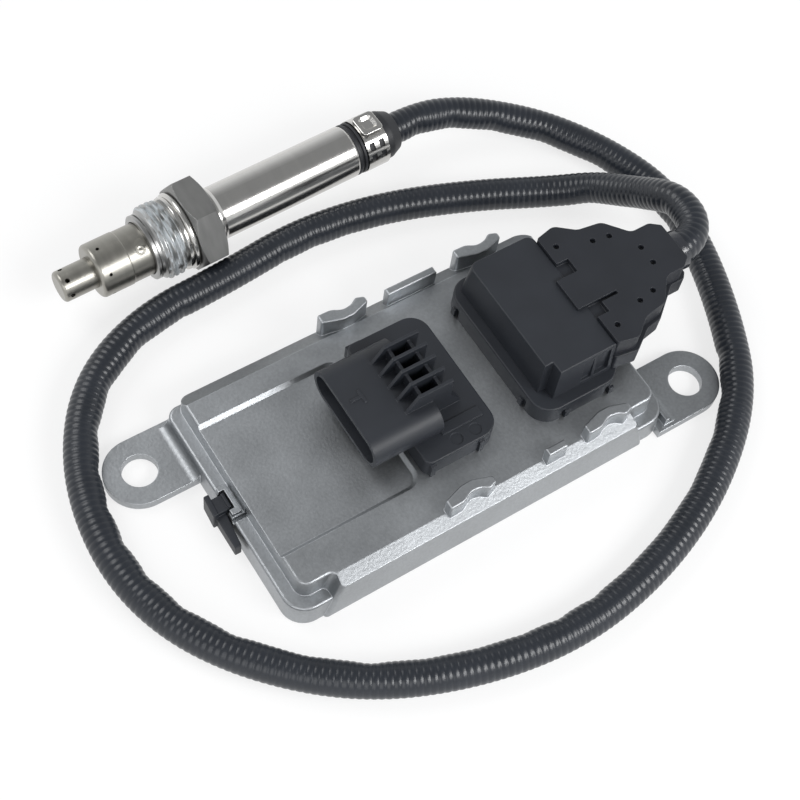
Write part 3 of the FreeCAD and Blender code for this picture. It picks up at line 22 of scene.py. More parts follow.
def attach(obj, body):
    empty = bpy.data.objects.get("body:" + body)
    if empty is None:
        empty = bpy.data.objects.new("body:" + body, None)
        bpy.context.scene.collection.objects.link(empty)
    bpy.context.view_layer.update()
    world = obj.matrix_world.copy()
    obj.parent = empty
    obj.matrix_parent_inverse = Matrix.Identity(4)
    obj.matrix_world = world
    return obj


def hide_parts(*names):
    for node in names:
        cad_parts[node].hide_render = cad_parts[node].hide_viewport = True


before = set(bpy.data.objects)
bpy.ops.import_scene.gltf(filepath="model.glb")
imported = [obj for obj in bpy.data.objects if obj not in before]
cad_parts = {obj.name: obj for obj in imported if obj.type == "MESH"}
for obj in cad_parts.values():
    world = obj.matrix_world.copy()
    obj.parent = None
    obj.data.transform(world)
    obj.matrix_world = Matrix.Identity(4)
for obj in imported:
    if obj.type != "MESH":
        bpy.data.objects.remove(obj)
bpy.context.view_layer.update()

log = logging.getLogger("sensor")
MM = 0.001

Colour = tuple[float, float, float]
Point = tuple[float, float, float]
Socket = bpy.types.NodeSocket


# The probe's axis

@dataclass(frozen=True)
class ProbeAxis:
    """Where the probe lies: its axis runs level, from the tip towards the conduit.

    Fields:
        tip: the axis's start at the tip, in mm.
        yaw: the axis's turn about Z, away from X, in degrees.
    """

    tip: Point = (-60.9, 73.1, 11.0)
    yaw: float = 1.67

    def place(self, along: np.ndarray, radius: np.ndarray, angle: np.ndarray) -> np.ndarray:
        """Turns stations, radii and angles about the axis into points.

        The angle starts at the axis's left and turns upwards.

        Args:
            along: distance from the tip, in mm.
            radius: distance from the axis, in mm.
            angle: angle about the axis, in radians.

        Returns:
            Points in mm, with one more array direction than the angles.
        """
        yaw = math.radians(self.yaw)
        y, z = radius * np.cos(angle), radius * np.sin(angle)
        x = along + np.zeros_like(radius)
        return np.stack([self.tip[0] + x * math.cos(yaw) - y * math.sin(yaw),
                         self.tip[1] + x * math.sin(yaw) + y * math.cos(yaw), self.tip[2] + z], axis=-1)

    def point(self, station: float) -> Point:
        """The axis's point this far from the tip, in mm."""
        x, y, z = self.place(np.array(station), np.array(0.0), np.array(0.0))
        return (float(x), float(y), float(z))


PROBE = ProbeAxis()


# Node graphs and finishes

class Graph:
    """Adds shader nodes and links to one material or world."""

    def __init__(self, tree: bpy.types.NodeTree) -> None:
        """Starts from an empty tree.

        Args:
            tree: the node tree to fill.
        """
        self.tree = tree
        tree.nodes.clear()

    def add(self, kind: str, inputs: dict[str | int, object] | None = None,
            **settings: object) -> bpy.types.Node:
        """Adds one node.

        Args:
            kind: the node's type name.
            inputs: socket name or number to a value, or to an output socket that feeds it.
            settings: plain properties of the node.

        Returns:
            The node.
        """
        node = self.tree.nodes.new(kind)
        for key, value in settings.items():
            setattr(node, key, value)
        for key, value in (inputs or {}).items():
            if isinstance(value, Socket):
                self.join(value, node.inputs[key])
            else:
                node.inputs[key].default_value = value
        return node

    def join(self, source: Socket, target: Socket) -> None:
        """Joins an output to an input."""
        self.tree.links.new(source, target)

    def times(self, first: Socket, second: Socket | Point) -> Socket:
        """Multiplies two colours or vectors, part by part."""
        return self.add("ShaderNodeVectorMath", {0: first, 1: second}, operation="MULTIPLY").outputs[0]

    def number(self, operation: str, first: Socket, second: Socket | float) -> Socket:
        """Works out one number from two, by the named operation."""
        return self.add("ShaderNodeMath", {0: first, 1: second}, operation=operation).outputs[0]

    def ramp(self, factor: Socket, stops: Sequence[tuple[float, Colour]]) -> Socket:
        """Maps a factor through colour stops.

        Args:
            factor: the value to map.
            stops: position and colour of each stop.

        Returns:
            The colour output.
        """
        node = self.add("ShaderNodeValToRGB", {"Fac": factor})
        elements = node.color_ramp.elements
        while len(elements) < len(stops):
            elements.new(0.5)
        for element, (place, colour) in zip(elements, stops):
            element.position = place
            element.color = (*colour, 1.0)
        return node.outputs["Color"]

    def spread(self, factor: Socket, low: float, high: float,
               start: float = 0.0, end: float = 1.0) -> Socket:
        """Maps a factor from start..end onto low..high, and holds it there beyond both ends."""
        node = self.add("ShaderNodeMapRange", {"Value": factor, "From Min": start, "From Max": end,
                                               "To Min": low, "To Max": high})
        return node.outputs["Result"]


SLOW_DETAIL, FINE_DETAIL = 4.0, 2.0     # octaves of the slow and the fine noise
SPECKLE_GAIN = 2.5                      # noise keeps near its middle, so its sway is widened by this
COAT_ROUGHNESS = 0.12
DARK_STOP, LIGHT_STOP = 0.3, 0.7        # noise levels that get the darkest and the lightest colour
BEVEL_RAYS = 6
HIGHLIGHT_START, HIGHLIGHT_FULL = 0.995, 0.9      # cosines between bare and rounded normal: painted edge highlight starts, is full
HIGHLIGHT_LIFT = 1.5                         # how many times brighter the painted edge highlight makes the colour on a full edge


@dataclass(frozen=True)
class Finish:
    """One surface finish: a plain principled surface with grain in its colour, gloss and relief.

    Fields:
        name: the material's name.
        colour: base colour.
        metallic: 1 for metal, 0 otherwise.
        roughness: middle roughness.
        rough_sway: how far the roughness varies either way.
        shade_sway: how far the colour's brightness varies either way.
        patch: size of the slow variation, in metres.
        grain: size of the fine relief, in metres.
        relief: height of the fine relief, in metres.
        turn: turn of the pattern about Z, in degrees, for pieces that lie at an angle.
        stretch: how many times finer the pattern is along the piece than across it.
        coat: weight of a clear gloss layer.
        speckle: how far the fine grain sways the colour's brightness either way.
        edge: width of the rounded look of sharp edges and of the painted highlight along them, in metres;
            none at 0.
    """

    name: str
    colour: Colour
    metallic: float = 0.0
    roughness: float = 0.5
    rough_sway: float = 0.05
    shade_sway: float = 0.06
    patch: float = 0.012
    grain: float = 0.0006
    relief: float = 0.00001
    turn: float = 0.0
    stretch: float = 1.0
    coat: float = 0.0
    speckle: float = 0.0
    edge: float = 0.0

    def build(self) -> bpy.types.Material:
        """Makes the material.

        Returns:
            The new material.
        """
        material = bpy.data.materials.new(self.name)
        material.use_nodes = True
        graph = Graph(material.node_tree)
        place = self.place(graph)
        slow = graph.add("ShaderNodeTexNoise", {"Vector": place, "Scale": 1.0 / self.patch,
                                                "Detail": SLOW_DETAIL}).outputs["Fac"]
        fine = graph.add("ShaderNodeTexNoise", {"Vector": place, "Scale": 1.0 / self.grain,
                                                "Detail": FINE_DETAIL}).outputs["Fac"]
        colour = self.shade(graph, slow)
        if self.speckle:
            sway = SPECKLE_GAIN * self.speckle
            colour = graph.times(colour, graph.spread(fine, 1.0 - sway, 1.0 + sway))
        rough = graph.spread(slow, self.roughness - self.rough_sway, self.roughness + self.rough_sway)
        colour, metallic, rough = self.cover(graph, colour, rough)
        bump = graph.add("ShaderNodeBump", {"Height": fine, "Strength": 1.0, "Distance": self.relief})
        # Sharp edges get a rounded look and a painted highlight: brighter colour along them.
        if self.edge:
            colour = self.paint_edge_highlight(graph, colour, bump)
        surface = graph.add("ShaderNodeBsdfPrincipled", {
            "Base Color": colour, "Metallic": metallic, "Roughness": rough,
            "Coat Weight": self.coat, "Coat Roughness": COAT_ROUGHNESS, "Normal": bump.outputs["Normal"]})
        graph.add("ShaderNodeOutputMaterial", {"Surface": surface.outputs["BSDF"]})
        return material

    def cover(self, graph: Graph, colour: Socket, rough: Socket) -> tuple[Socket, Socket | float, Socket]:
        """Lays on what covers the surface, which is nothing here.

        Args:
            graph: the material's graph.
            colour: the bare surface's colour.
            rough: its roughness.

        Returns:
            Colour, metallic and roughness with the cover on.
        """
        return colour, self.metallic, rough

    def paint_edge_highlight(self, graph: Graph, colour: Socket, bump: bpy.types.Node) -> Socket:
        """Rounds the look of sharp edges and paints a highlight along them by making their colour brighter.

        Args:
            graph: the material's graph.
            colour: the colour away from the edges.
            bump: the relief, which is laid over the rounded edges.

        Returns:
            The colour with the painted edge highlight.
        """
        rounded = graph.add("ShaderNodeBevel", {"Radius": self.edge}, samples=BEVEL_RAYS).outputs["Normal"]
        graph.join(rounded, bump.inputs["Normal"])
        bare = graph.add("ShaderNodeNewGeometry").outputs["Normal"]
        same = graph.add("ShaderNodeVectorMath", {0: rounded, 1: bare}, operation="DOT_PRODUCT")
        return graph.times(colour, graph.spread(same.outputs["Value"], 1.0, HIGHLIGHT_LIFT, HIGHLIGHT_START, HIGHLIGHT_FULL))

    def turned(self, graph: Graph) -> dict[str, object]:
        """Mapping inputs that turn Object coordinates along the piece."""
        coords = graph.add("ShaderNodeTexCoord")
        return {"Vector": coords.outputs["Object"], "Rotation": (0.0, 0.0, math.radians(-self.turn))}

    def place(self, graph: Graph) -> Socket:
        """Object coordinates, turned and stretched to follow the piece."""
        mapping = graph.add("ShaderNodeMapping", {**self.turned(graph), "Scale": (self.stretch, 1.0, 1.0)})
        return mapping.outputs["Vector"]

    def shade(self, graph: Graph, factor: Socket) -> Socket:
        """The colour, a little darker and lighter by turns."""
        dark = tuple(c * (1 - self.shade_sway) for c in self.colour)
        light = tuple(min(c * (1 + self.shade_sway), 1.0) for c in self.colour)
        return graph.ramp(factor, [(DARK_STOP, dark), (LIGHT_STOP, light)])


@dataclass(frozen=True)
class Smeared(Finish):
    """A finish with pale paste smeared over part of the piece.

    Fields:
        paste: colour of the paste.
        paste_roughness: its roughness.
        start, end: where the paste lies, along the turned X axis, in metres.
        share: the streaks' noise level at which the paste starts, between 0 and 1.
        fade: how far above that level the paste covers fully.
        streak: size of the streaks, in metres.
        streak_detail, streak_twist: octaves of their noise, and how far it is distorted.
        streak_stretch: how many times finer the streaks are along the piece than round it.
    """

    paste: Colour = (0.46, 0.49, 0.51)
    paste_roughness: float = 0.5
    start: float = -0.1
    end: float = 0.1
    share: float = 0.4
    fade: float = 0.2
    streak: float = 1 / 330
    streak_detail: float = 5.0
    streak_twist: float = 0.4
    streak_stretch: float = 4.0

    def cover(self, graph: Graph, colour: Socket, rough: Socket) -> tuple[Socket, Socket | float, Socket]:
        """Lays the paste on in streaks round the piece.

        Args:
            graph: the material's graph.
            colour: the bare surface's colour.
            rough: its roughness.

        Returns:
            Colour, metallic and roughness with the paste on.
        """
        place = graph.add("ShaderNodeMapping", self.turned(graph)).outputs["Vector"]
        along = graph.add("ShaderNodeSeparateXYZ", {0: place}).outputs["X"]
        thin = graph.times(place, (self.streak_stretch, 1.0, 1.0))
        streaks = graph.add("ShaderNodeTexNoise", {"Vector": thin, "Scale": 1.0 / self.streak,
                                                   "Detail": self.streak_detail,
                                                   "Distortion": self.streak_twist})
        cover = graph.spread(streaks.outputs["Fac"], 0.0, 1.0, self.share, self.share + self.fade)
        within = graph.number("MULTIPLY", graph.number("GREATER_THAN", along, self.start),
                              graph.number("LESS_THAN", along, self.end))
        mask = graph.number("MULTIPLY", cover, within)
        mixed = graph.add("ShaderNodeMixRGB", {"Fac": mask, "Color1": colour, "Color2": (*self.paste, 1.0)})
        metal = graph.spread(mask, self.metallic, 0.0)
        gloss = graph.add("ShaderNodeMix", {"Factor": mask, "A": rough, "B": self.paste_roughness},
                          data_type="FLOAT")
        return mixed.outputs["Color"], metal, gloss.outputs["Result"]


class Finishes(Enum):
    """Every finish on the sensor."""

    # The edge widths of the casting and both nylons also paint a highlight along their sharp edges.
    CASTING = Finish("cast aluminium", (0.375, 0.39, 0.405), metallic=1.0, roughness=0.43, rough_sway=0.06,
                     shade_sway=0.09, patch=0.014, grain=0.0007, relief=0.00004, speckle=0.07, edge=0.00035)
    SHEET = Finish("pressed aluminium", (0.5, 0.52, 0.54), metallic=1.0, roughness=0.4, shade_sway=0.04)
    PLASTIC = Finish("charcoal nylon", (0.0135, 0.016, 0.0215), roughness=0.5, shade_sway=0.1,
                     patch=0.01, grain=0.0004, edge=0.0002)
    HOOD = Finish("hood nylon", (0.012, 0.014, 0.019), roughness=0.46, shade_sway=0.1,
                  patch=0.01, grain=0.0004, edge=0.0002)
    WRAP = Finish("shrunk film", (0.02, 0.022, 0.028), roughness=0.2, shade_sway=0.1,
                  patch=0.004, grain=0.001, relief=0.0001, coat=0.6)
    CONDUIT = Finish("ribbed nylon", (0.014, 0.017, 0.023), roughness=0.3, rough_sway=0.06,
                     shade_sway=0.15, patch=0.01, grain=0.0008)
    RUBBER = Finish("rubber", (0.016, 0.017, 0.02), roughness=0.5, shade_sway=0.1)
    SILICONE = Finish("silicone", (0.25, 0.06, 0.04), roughness=0.5)
    POLISHED = Finish("polished steel", (0.58, 0.57, 0.55), metallic=1.0, roughness=0.16, rough_sway=0.03,
                      shade_sway=0.03, patch=0.02, grain=0.0003, relief=0.000004, turn=PROBE.yaw, stretch=8.0)
    MACHINED = Finish("machined steel", (0.26, 0.26, 0.255), metallic=1.0, roughness=0.42,
                      patch=0.006, grain=0.0003, turn=PROBE.yaw, stretch=4.0)
    THREAD = Smeared("pasted thread", (0.36, 0.36, 0.355), metallic=1.0, roughness=0.3,
                     patch=0.006, grain=0.0003, relief=0.00002, turn=PROBE.yaw, start=-0.0328, end=-0.0272)
    DRAWN = Finish("drawn steel", (0.33, 0.32, 0.29), metallic=1.0, roughness=0.33,
                   patch=0.006, grain=0.0004, relief=0.000008, turn=PROBE.yaw, stretch=4.0)
    ZINC = Finish("zinc plating", (0.5, 0.5, 0.5), metallic=1.0, roughness=0.35)
    TINNED = Finish("tinned contact", (0.66, 0.64, 0.6), metallic=1.0, roughness=0.25)
    BOARD = Finish("board mask", (0.02, 0.12, 0.05), roughness=0.35)
    CHIP = Finish("moulded package", (0.02, 0.02, 0.02), roughness=0.5)
    CAN = Finish("drawn can", (0.6, 0.6, 0.62), metallic=1.0, roughness=0.3)
    LEAD = Finish("lead insulation", (0.4, 0.05, 0.04), roughness=0.45)
    PALE_LEAD = Finish("high-temperature insulation", (0.6, 0.6, 0.58), roughness=0.5)
    CERAMIC = Finish("fired ceramic", (0.7, 0.69, 0.66), roughness=0.5)
    TALC = Finish("pressed talc", (0.55, 0.55, 0.52), roughness=0.7)

    @property
    def material(self) -> bpy.types.Material:
        """The finish's material, made on first use."""
        return bpy.data.materials.get(self.value.name) or self.value.build()


# Mesh helpers

DOUBLE_GAP = 1e-7    # points of a made surface that lie closer than this are one point, in metres
NODE_GAP = 2e-6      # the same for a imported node
FLAT_ANGLE = 0.6     # triangles that turn by less than this many degrees are one flat face
EDGE_ANGLE = 32.0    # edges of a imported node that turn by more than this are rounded
SMOOTH_ANGLE = 60.0  # edges of a rounded surface stay sharp only over this


def new_object(name: str, mesh: bpy.types.Mesh) -> bpy.types.Object:
    """Links a mesh into the scene as an object at the origin."""
    piece = bpy.data.objects.new(name, mesh)
    bpy.context.scene.collection.objects.link(piece)
    return piece


def grid_mesh(name: str, points: np.ndarray, loop_u: bool, loop_v: bool) -> bpy.types.Object:
    """Makes a surface of quads over a grid of points.

    Row u and column v of the grid join to row u+1 and column v+1. A looped direction joins its last
    row or column back to its first.

    Args:
        name: the object's name.
        points: array of shape (rows, columns, 3), in metres.
        loop_u: whether the rows close on themselves.
        loop_v: whether the columns close on themselves.

    Returns:
        The new object, shaded smooth.
    """
    rows, columns, _ = points.shape
    u = np.arange(rows if loop_u else rows - 1)
    v = np.arange(columns if loop_v else columns - 1)
    uu, vv = np.meshgrid(u, v, indexing="ij")
    un, vn = (uu + 1) % rows, (vv + 1) % columns
    quads = np.stack([uu * columns + vv, un * columns + vv, un * columns + vn, uu * columns + vn], axis=-1)
    mesh = bpy.data.meshes.new(name)
    mesh.from_pydata(points.reshape(-1, 3).tolist(), [], quads.reshape(-1, 4).tolist())
    mesh.shade_smooth()
    return new_object(name, mesh)


def mend(piece: bpy.types.Object, sharp: float) -> None:
    """Merges doubles, turns faces outward and keeps edges over an angle sharp.

    Args:
        piece: the mesh object.
        sharp: the angle, in degrees.
    """
    work = bmesh.new()
    work.from_mesh(piece.data)
    bmesh.ops.remove_doubles(work, verts=work.verts, dist=DOUBLE_GAP)
    bmesh.ops.recalc_face_normals(work, faces=work.faces)
    work.to_mesh(piece.data)
    work.free()
    piece.data.shade_smooth()
    piece.data.set_sharp_from_angle(angle=math.radians(sharp))


def round_edges(piece: bpy.types.Object, radius: float, segments: int, angle: float) -> None:
    """Rounds a piece's edges and keeps its flat faces flat.

    Args:
        piece: the mesh object.
        radius: edge radius, in metres.
        segments: steps across each rounded edge.
        angle: only edges that turn by more than this many degrees are rounded.
    """
    piece.data.shade_smooth()
    piece.data.set_sharp_from_angle(angle=math.radians(angle))
    bevel = piece.modifiers.new("edge radius", "BEVEL")
    bevel.width = radius
    bevel.segments = segments
    bevel.limit_method = "ANGLE"
    bevel.angle_limit = math.radians(angle)
    bevel.use_clamp_overlap = True
    piece.modifiers.new("flat faces", "WEIGHTED_NORMAL").keep_sharp = False


def dress(piece: bpy.types.Object, finish: Finishes) -> None:
    """Gives a piece one finish.

    Args:
        piece: the object.
        finish: its finish.
    """
    piece.data.materials.clear()
    piece.data.materials.append(finish.material)
    log.info("%s: %s", piece.name, finish.value.name)


def dress_node(node: str, finish: Finishes) -> None:
    """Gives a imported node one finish."""
    dress(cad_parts[node], finish)


def stand_for(piece: bpy.types.Object, node: str, finish: Finishes) -> None:
    """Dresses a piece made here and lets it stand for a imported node.

    Args:
        piece: the piece.
        node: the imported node's name.
        finish: the piece's finish.
    """
    dress(piece, finish)
    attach(piece, "root")
    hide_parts(node)


def soften(node: str, finish: Finishes, radius: float, segments: int = 2) -> None:
    """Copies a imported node, merges its triangles into flat faces, rounds its edges and dresses it.

    Args:
        node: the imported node's name.
        finish: the copy's finish.
        radius: edge radius, in metres.
        segments: steps across each rounded edge.
    """
    piece = new_object(node + "_dressed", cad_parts[node].data.copy())
    work = bmesh.new()
    work.from_mesh(piece.data)
    bmesh.ops.remove_doubles(work, verts=work.verts, dist=NODE_GAP)
    bmesh.ops.dissolve_limit(work, angle_limit=math.radians(FLAT_ANGLE), verts=work.verts, edges=work.edges)
    work.to_mesh(piece.data)
    work.free()
    round_edges(piece, radius, segments, EDGE_ANGLE)
    stand_for(piece, node, finish)


# Camera and stage

@dataclass(frozen=True)
class Lamp:
    """A soft rectangular lamp.

    Fields:
        name: the lamp's name.
        place, target: where it hangs and where it points, in metres.
        length, width: its sides, in metres.
        power: its power, in watts.
    """

    name: str
    place: Point
    target: Point
    length: float
    width: float
    power: float

    def hang(self) -> None:
        """Makes the lamp and turns it to its target."""
        data = bpy.data.lights.new(self.name, "AREA")
        data.shape = "RECTANGLE"
        data.size = self.length
        data.size_y = self.width
        data.energy = self.power
        lamp = bpy.data.objects.new(self.name, data)
        bpy.context.scene.collection.objects.link(lamp)
        lamp.location = self.place
        away = Vector(self.place) - Vector(self.target)
        lamp.rotation_euler = away.to_track_quat("Z", "Y").to_euler()


@dataclass
class Studio:
    """Camera at the photograph's angle, pale floor, white surroundings and soft lamps.

    Fields:
        camera_at: camera position, in metres.
        right: the image's right, as a direction.
        up: the image's up.
        lens: focal length, in mm.
        film: width of the camera's frame, in mm.
        floor_size: width of the floor, in metres.
        floor_drop: how far the floor lies under the mounting plane, in metres.
        floor_colour: the floor's paint.
        floor_glow: share of plain white in what the camera and mirrors see of the floor.
        surroundings: colour of the surroundings.
        horizon, overhead: their brightness low down and above, for light and reflections.
        low, high: sines of the heights between which one goes over into the other.
        lamps: the lamps.
    """

    camera_at: Point = (-0.13365, -0.13877, 0.34694)
    right: Point = (0.83939, -0.53523, 0.09461)
    up: Point = (0.42889, 0.75916, 0.48962)
    lens: float = 72.0
    film: float = 36.0
    floor_size: float = 6.0
    floor_drop: float = 0.0002
    floor_colour: Colour = (0.92, 0.92, 0.92)
    floor_glow: float = 0.74
    surroundings: Colour = (0.97, 0.985, 1.0)
    horizon: float = 0.95
    overhead: float = 0.34
    low: float = 0.15
    high: float = 0.8
    lamps: tuple[Lamp, ...] = (
        Lamp("key", (-0.35, 0.55, 0.75), (0.0, 0.0, 0.0), 0.55, 0.55, 3.2),
        Lamp("fill", (-0.6, -0.5, 0.55), (0.0, 0.0, 0.0), 0.6, 0.6, 2.0),
        Lamp("strip", (0.21, -0.46, 0.44), (0.0, 0.05, 0.0), 0.42, 0.24, 3.0),
    )

    def camera(self) -> None:
        """Places the camera and makes it the scene's."""
        data = bpy.data.cameras.new("camera")
        data.lens = self.lens
        data.sensor_width = self.film
        data.clip_start = 0.01
        rig = bpy.data.objects.new("camera", data)
        bpy.context.scene.collection.objects.link(rig)
        right = Vector(self.right).normalized()
        back = right.cross(Vector(self.up)).normalized()
        up = back.cross(right)
        turn = Matrix((right, up, back)).transposed()
        rig.matrix_world = Matrix.Translation(self.camera_at) @ turn.to_4x4()
        bpy.context.scene.camera = rig

    def floor(self) -> None:
        """Lays the pale floor, which keeps the object's shadow."""
        half, level = self.floor_size / 2, -self.floor_drop
        mesh = bpy.data.meshes.new("floor")
        corners = [(-half, -half, level), (half, -half, level), (half, half, level), (-half, half, level)]
        mesh.from_pydata(corners, [], [(0, 1, 2, 3)])
        floor = new_object("floor", mesh)
        material = bpy.data.materials.new("floor")
        material.use_nodes = True
        graph = Graph(material.node_tree)
        rays = graph.add("ShaderNodeLightPath")
        seen = graph.number("MAXIMUM", rays.outputs["Is Camera Ray"], rays.outputs["Is Glossy Ray"])
        share = graph.number("MULTIPLY", seen, self.floor_glow)
        paint = graph.add("ShaderNodeBsdfDiffuse", {"Color": (*self.floor_colour, 1.0)})
        glow = graph.add("ShaderNodeEmission", {"Color": (1.0, 1.0, 1.0, 1.0), "Strength": 1.0})
        mix = graph.add("ShaderNodeMixShader", {0: share, 1: paint.outputs[0], 2: glow.outputs[0]})
        graph.add("ShaderNodeOutputMaterial", {"Surface": mix.outputs[0]})
        mesh.materials.append(material)

    def world(self) -> None:
        """Makes the surroundings: white for the camera, and dimmer overhead for light and reflections."""
        world = bpy.data.worlds.new("surroundings")
        bpy.context.scene.world = world
        world.use_nodes = True
        graph = Graph(world.node_tree)
        rays = graph.add("ShaderNodeLightPath")
        toward = graph.add("ShaderNodeNewGeometry")
        height = graph.add("ShaderNodeSeparateXYZ", {0: toward.outputs["Incoming"]}).outputs["Z"]
        dim = graph.spread(height, self.horizon, self.overhead, -self.low, -self.high)
        strength = graph.add("ShaderNodeMix", {"Factor": rays.outputs["Is Camera Ray"], "A": dim, "B": 1.0},
                             data_type="FLOAT")
        back = graph.add("ShaderNodeBackground", {"Color": (*self.surroundings, 1.0),
                                                  "Strength": strength.outputs["Result"]})
        graph.add("ShaderNodeOutputWorld", {"Surface": back.outputs[0]})

    def build(self) -> None:
        """Makes camera, floor, world and lamps."""
        self.camera()
        self.floor()
        self.world()
        for lamp in self.lamps:
            lamp.hang()
        bpy.context.scene.view_settings.view_transform = "Standard"
        log.info("studio: %d lamps", len(self.lamps))


# Conduit

CONDUIT_R = 4.25        # outer radius, in mm
FLOOR_LINE = CONDUIT_R  # height of the conduit's middle where it lies on the floor


@dataclass
class Conduit:
    """Ribbed conduit along the part's own route, from the cable hood to the probe's boot.

    Fields, lengths in mm:
        radius: outer radius.
        pitch: distance between ribs.
        groove: depth of the grooves.
        sides: faces round the tube.
        per_rib: rings per rib.
        crease, crease_pitch: depth and spacing of the shallow creases inside a bend.
        crease_sway, crease_wander: how far the spacing strays, in parts of it, and over what length.
        crease_from: the least bend that creases, in radians per mm.
        crease_fade: how much more bend gives the full crease.
        bend_rings: number of rings over which the bend is averaged.
        path_step: not used.
        hood_end, hood_y, hood_rise: X, Y and Z of the tube's start in the hood.
        hood_run: the straight length after it.
        boot_end: the tube's end in the boot, as a distance from the probe's tip.
        boot_run: the straight length before it.
        route: the part's route points between the two straight lengths.
    """

    radius: float = CONDUIT_R
    pitch: float = 1.62
    groove: float = 0.15
    sides: int = 36
    per_rib: int = 8
    crease: float = 0.5
    crease_pitch: float = 13.0
    crease_sway: float = 0.35
    crease_wander: float = 19.0
    crease_from: float = 0.008
    crease_fade: float = 0.005
    bend_rings: int = 41
    path_step: int = 6
    hood_end: float = 71.8
    hood_y: float = 0.8
    hood_rise: float = 25.15
    hood_run: float = 4.7
    boot_end: float = 99.2
    boot_run: float = 9.0
    route: tuple[Point, ...] = (
        (81.1, 3.2, 25.15), (84.1, 8.0, 24.9), (83.9, 15.5, 23.8), (82.2, 25.0, 15.3), (78.4, 35.3, 8.0),
        (68.2, 42.1, FLOOR_LINE + 0.2), (49.0, 51.3, FLOOR_LINE), (25.5, 59.5, FLOOR_LINE),
        (2.0, 62.6, FLOOR_LINE), (-22.0, 59.9, FLOOR_LINE), (-45.5, 58.8, FLOOR_LINE),
        (-65.5, 49.2, FLOOR_LINE), (-78.2, 30.4, FLOOR_LINE), (-82.8, 7.0, FLOOR_LINE),
        (-79.2, -13.8, FLOOR_LINE), (-67.4, -32.8, FLOOR_LINE), (-48.2, -50.1, FLOOR_LINE),
        (-24.0, -60.4, FLOOR_LINE), (2.0, -64.7, FLOOR_LINE), (28.0, -60.8, FLOOR_LINE),
        (52.8, -50.8, FLOOR_LINE), (75.1, -33.9, FLOOR_LINE), (85.8, -13.8, FLOOR_LINE),
        (93.5, 8.0, FLOOR_LINE), (96.1, 27.0, FLOOR_LINE), (90.3, 44.8, FLOOR_LINE + 0.1),
        (79.6, 60.0, FLOOR_LINE + 1.4), (67.6, 68.6, FLOOR_LINE + 3.9), (57.4, 73.5, FLOOR_LINE + 5.9))

    def controls(self) -> list[Point]:
        """All route points, in mm, with the straight lengths at both ends."""
        return [(self.hood_end, self.hood_y, self.hood_rise),
                (self.hood_end + self.hood_run, self.hood_y, self.hood_rise), *self.route,
                PROBE.point(self.boot_end + self.boot_run), PROBE.point(self.boot_end)]

    @staticmethod
    def lengths(points: np.ndarray) -> np.ndarray:
        """The distance along a line of points, from its start to each of them."""
        return np.concatenate([[0.0], np.cumsum(np.linalg.norm(np.diff(points, axis=0), axis=1))])

    def ribs(self, length: float) -> int:
        """The whole number of ribs on a length in metres."""
        return round(length / (self.pitch * MM))

    def line(self) -> np.ndarray:
        """Samples the smooth line through the route.

        The line is a quadratic spline whose control points are the route's, so that it keeps to the
        straight lengths and turns inside each corner. Every rib gets the same number of samples.

        Returns:
            Points in metres, of shape (rings, 3).
        """
        curve = bpy.data.curves.new("conduit_line", "CURVE")
        curve.dimensions = "3D"
        curve.resolution_u = 64
        spline = curve.splines.new("NURBS")
        controls = self.controls()
        spline.points.add(len(controls) - 1)
        for point, at in zip(spline.points, controls):
            point.co = (at[0] * MM, at[1] * MM, at[2] * MM, 1.0)
        spline.order_u = 3
        spline.use_endpoint_u = True
        holder = bpy.data.objects.new("conduit_line", curve)
        mesh = bpy.data.meshes.new_from_object(holder)
        flat = np.empty(len(mesh.vertices) * 3)
        mesh.vertices.foreach_get("co", flat)
        bpy.data.meshes.remove(mesh)
        bpy.data.objects.remove(holder)
        bpy.data.curves.remove(curve)
        raw = flat.reshape(-1, 3)
        along = self.lengths(raw)
        wanted = np.linspace(0.0, along[-1], self.ribs(along[-1]) * self.per_rib + 1)
        return np.stack([np.interp(wanted, along, raw[:, k]) for k in range(3)], axis=1)

    def radii(self, along: np.ndarray, bend: np.ndarray, angle: np.ndarray) -> np.ndarray:
        """Works out the radius at every ring and angle.

        The radius is the outer radius less the groove depth times one less a half sine over each
        rib, so that ribs are round and grooves are narrow. On the inner side of a bend the wall also
        sinks in a little, as such tubing creases: by a squared raised cosine of the distance along
        the tube, times the squared cosine of the angle away from the bend's inside.

        Args:
            along: each ring's distance from the start, in metres.
            bend: each ring's bend to its side, in radians per mm.
            angle: the angles round a ring, from that side.

        Returns:
            Radii in metres, of shape (rings, angles).
        """
        wave = np.abs(np.sin(np.pi * self.ribs(along[-1]) * along / along[-1]))
        inner = np.clip(np.sign(bend)[:, None] * np.cos(angle)[None, :], 0.0, 1.0) ** 2
        stray = self.crease_sway * np.sin(along / (self.crease_wander * MM))
        phase = along / (self.crease_pitch * MM) + stray
        grown = np.clip((np.abs(bend) - self.crease_from) / self.crease_fade, 0.0, 1.0)
        crease = (0.5 + 0.5 * np.cos(2 * np.pi * phase)) ** 2 * grown
        return (self.radius - self.groove * (1 - wave)[:, None] - self.crease * crease[:, None] * inner) * MM

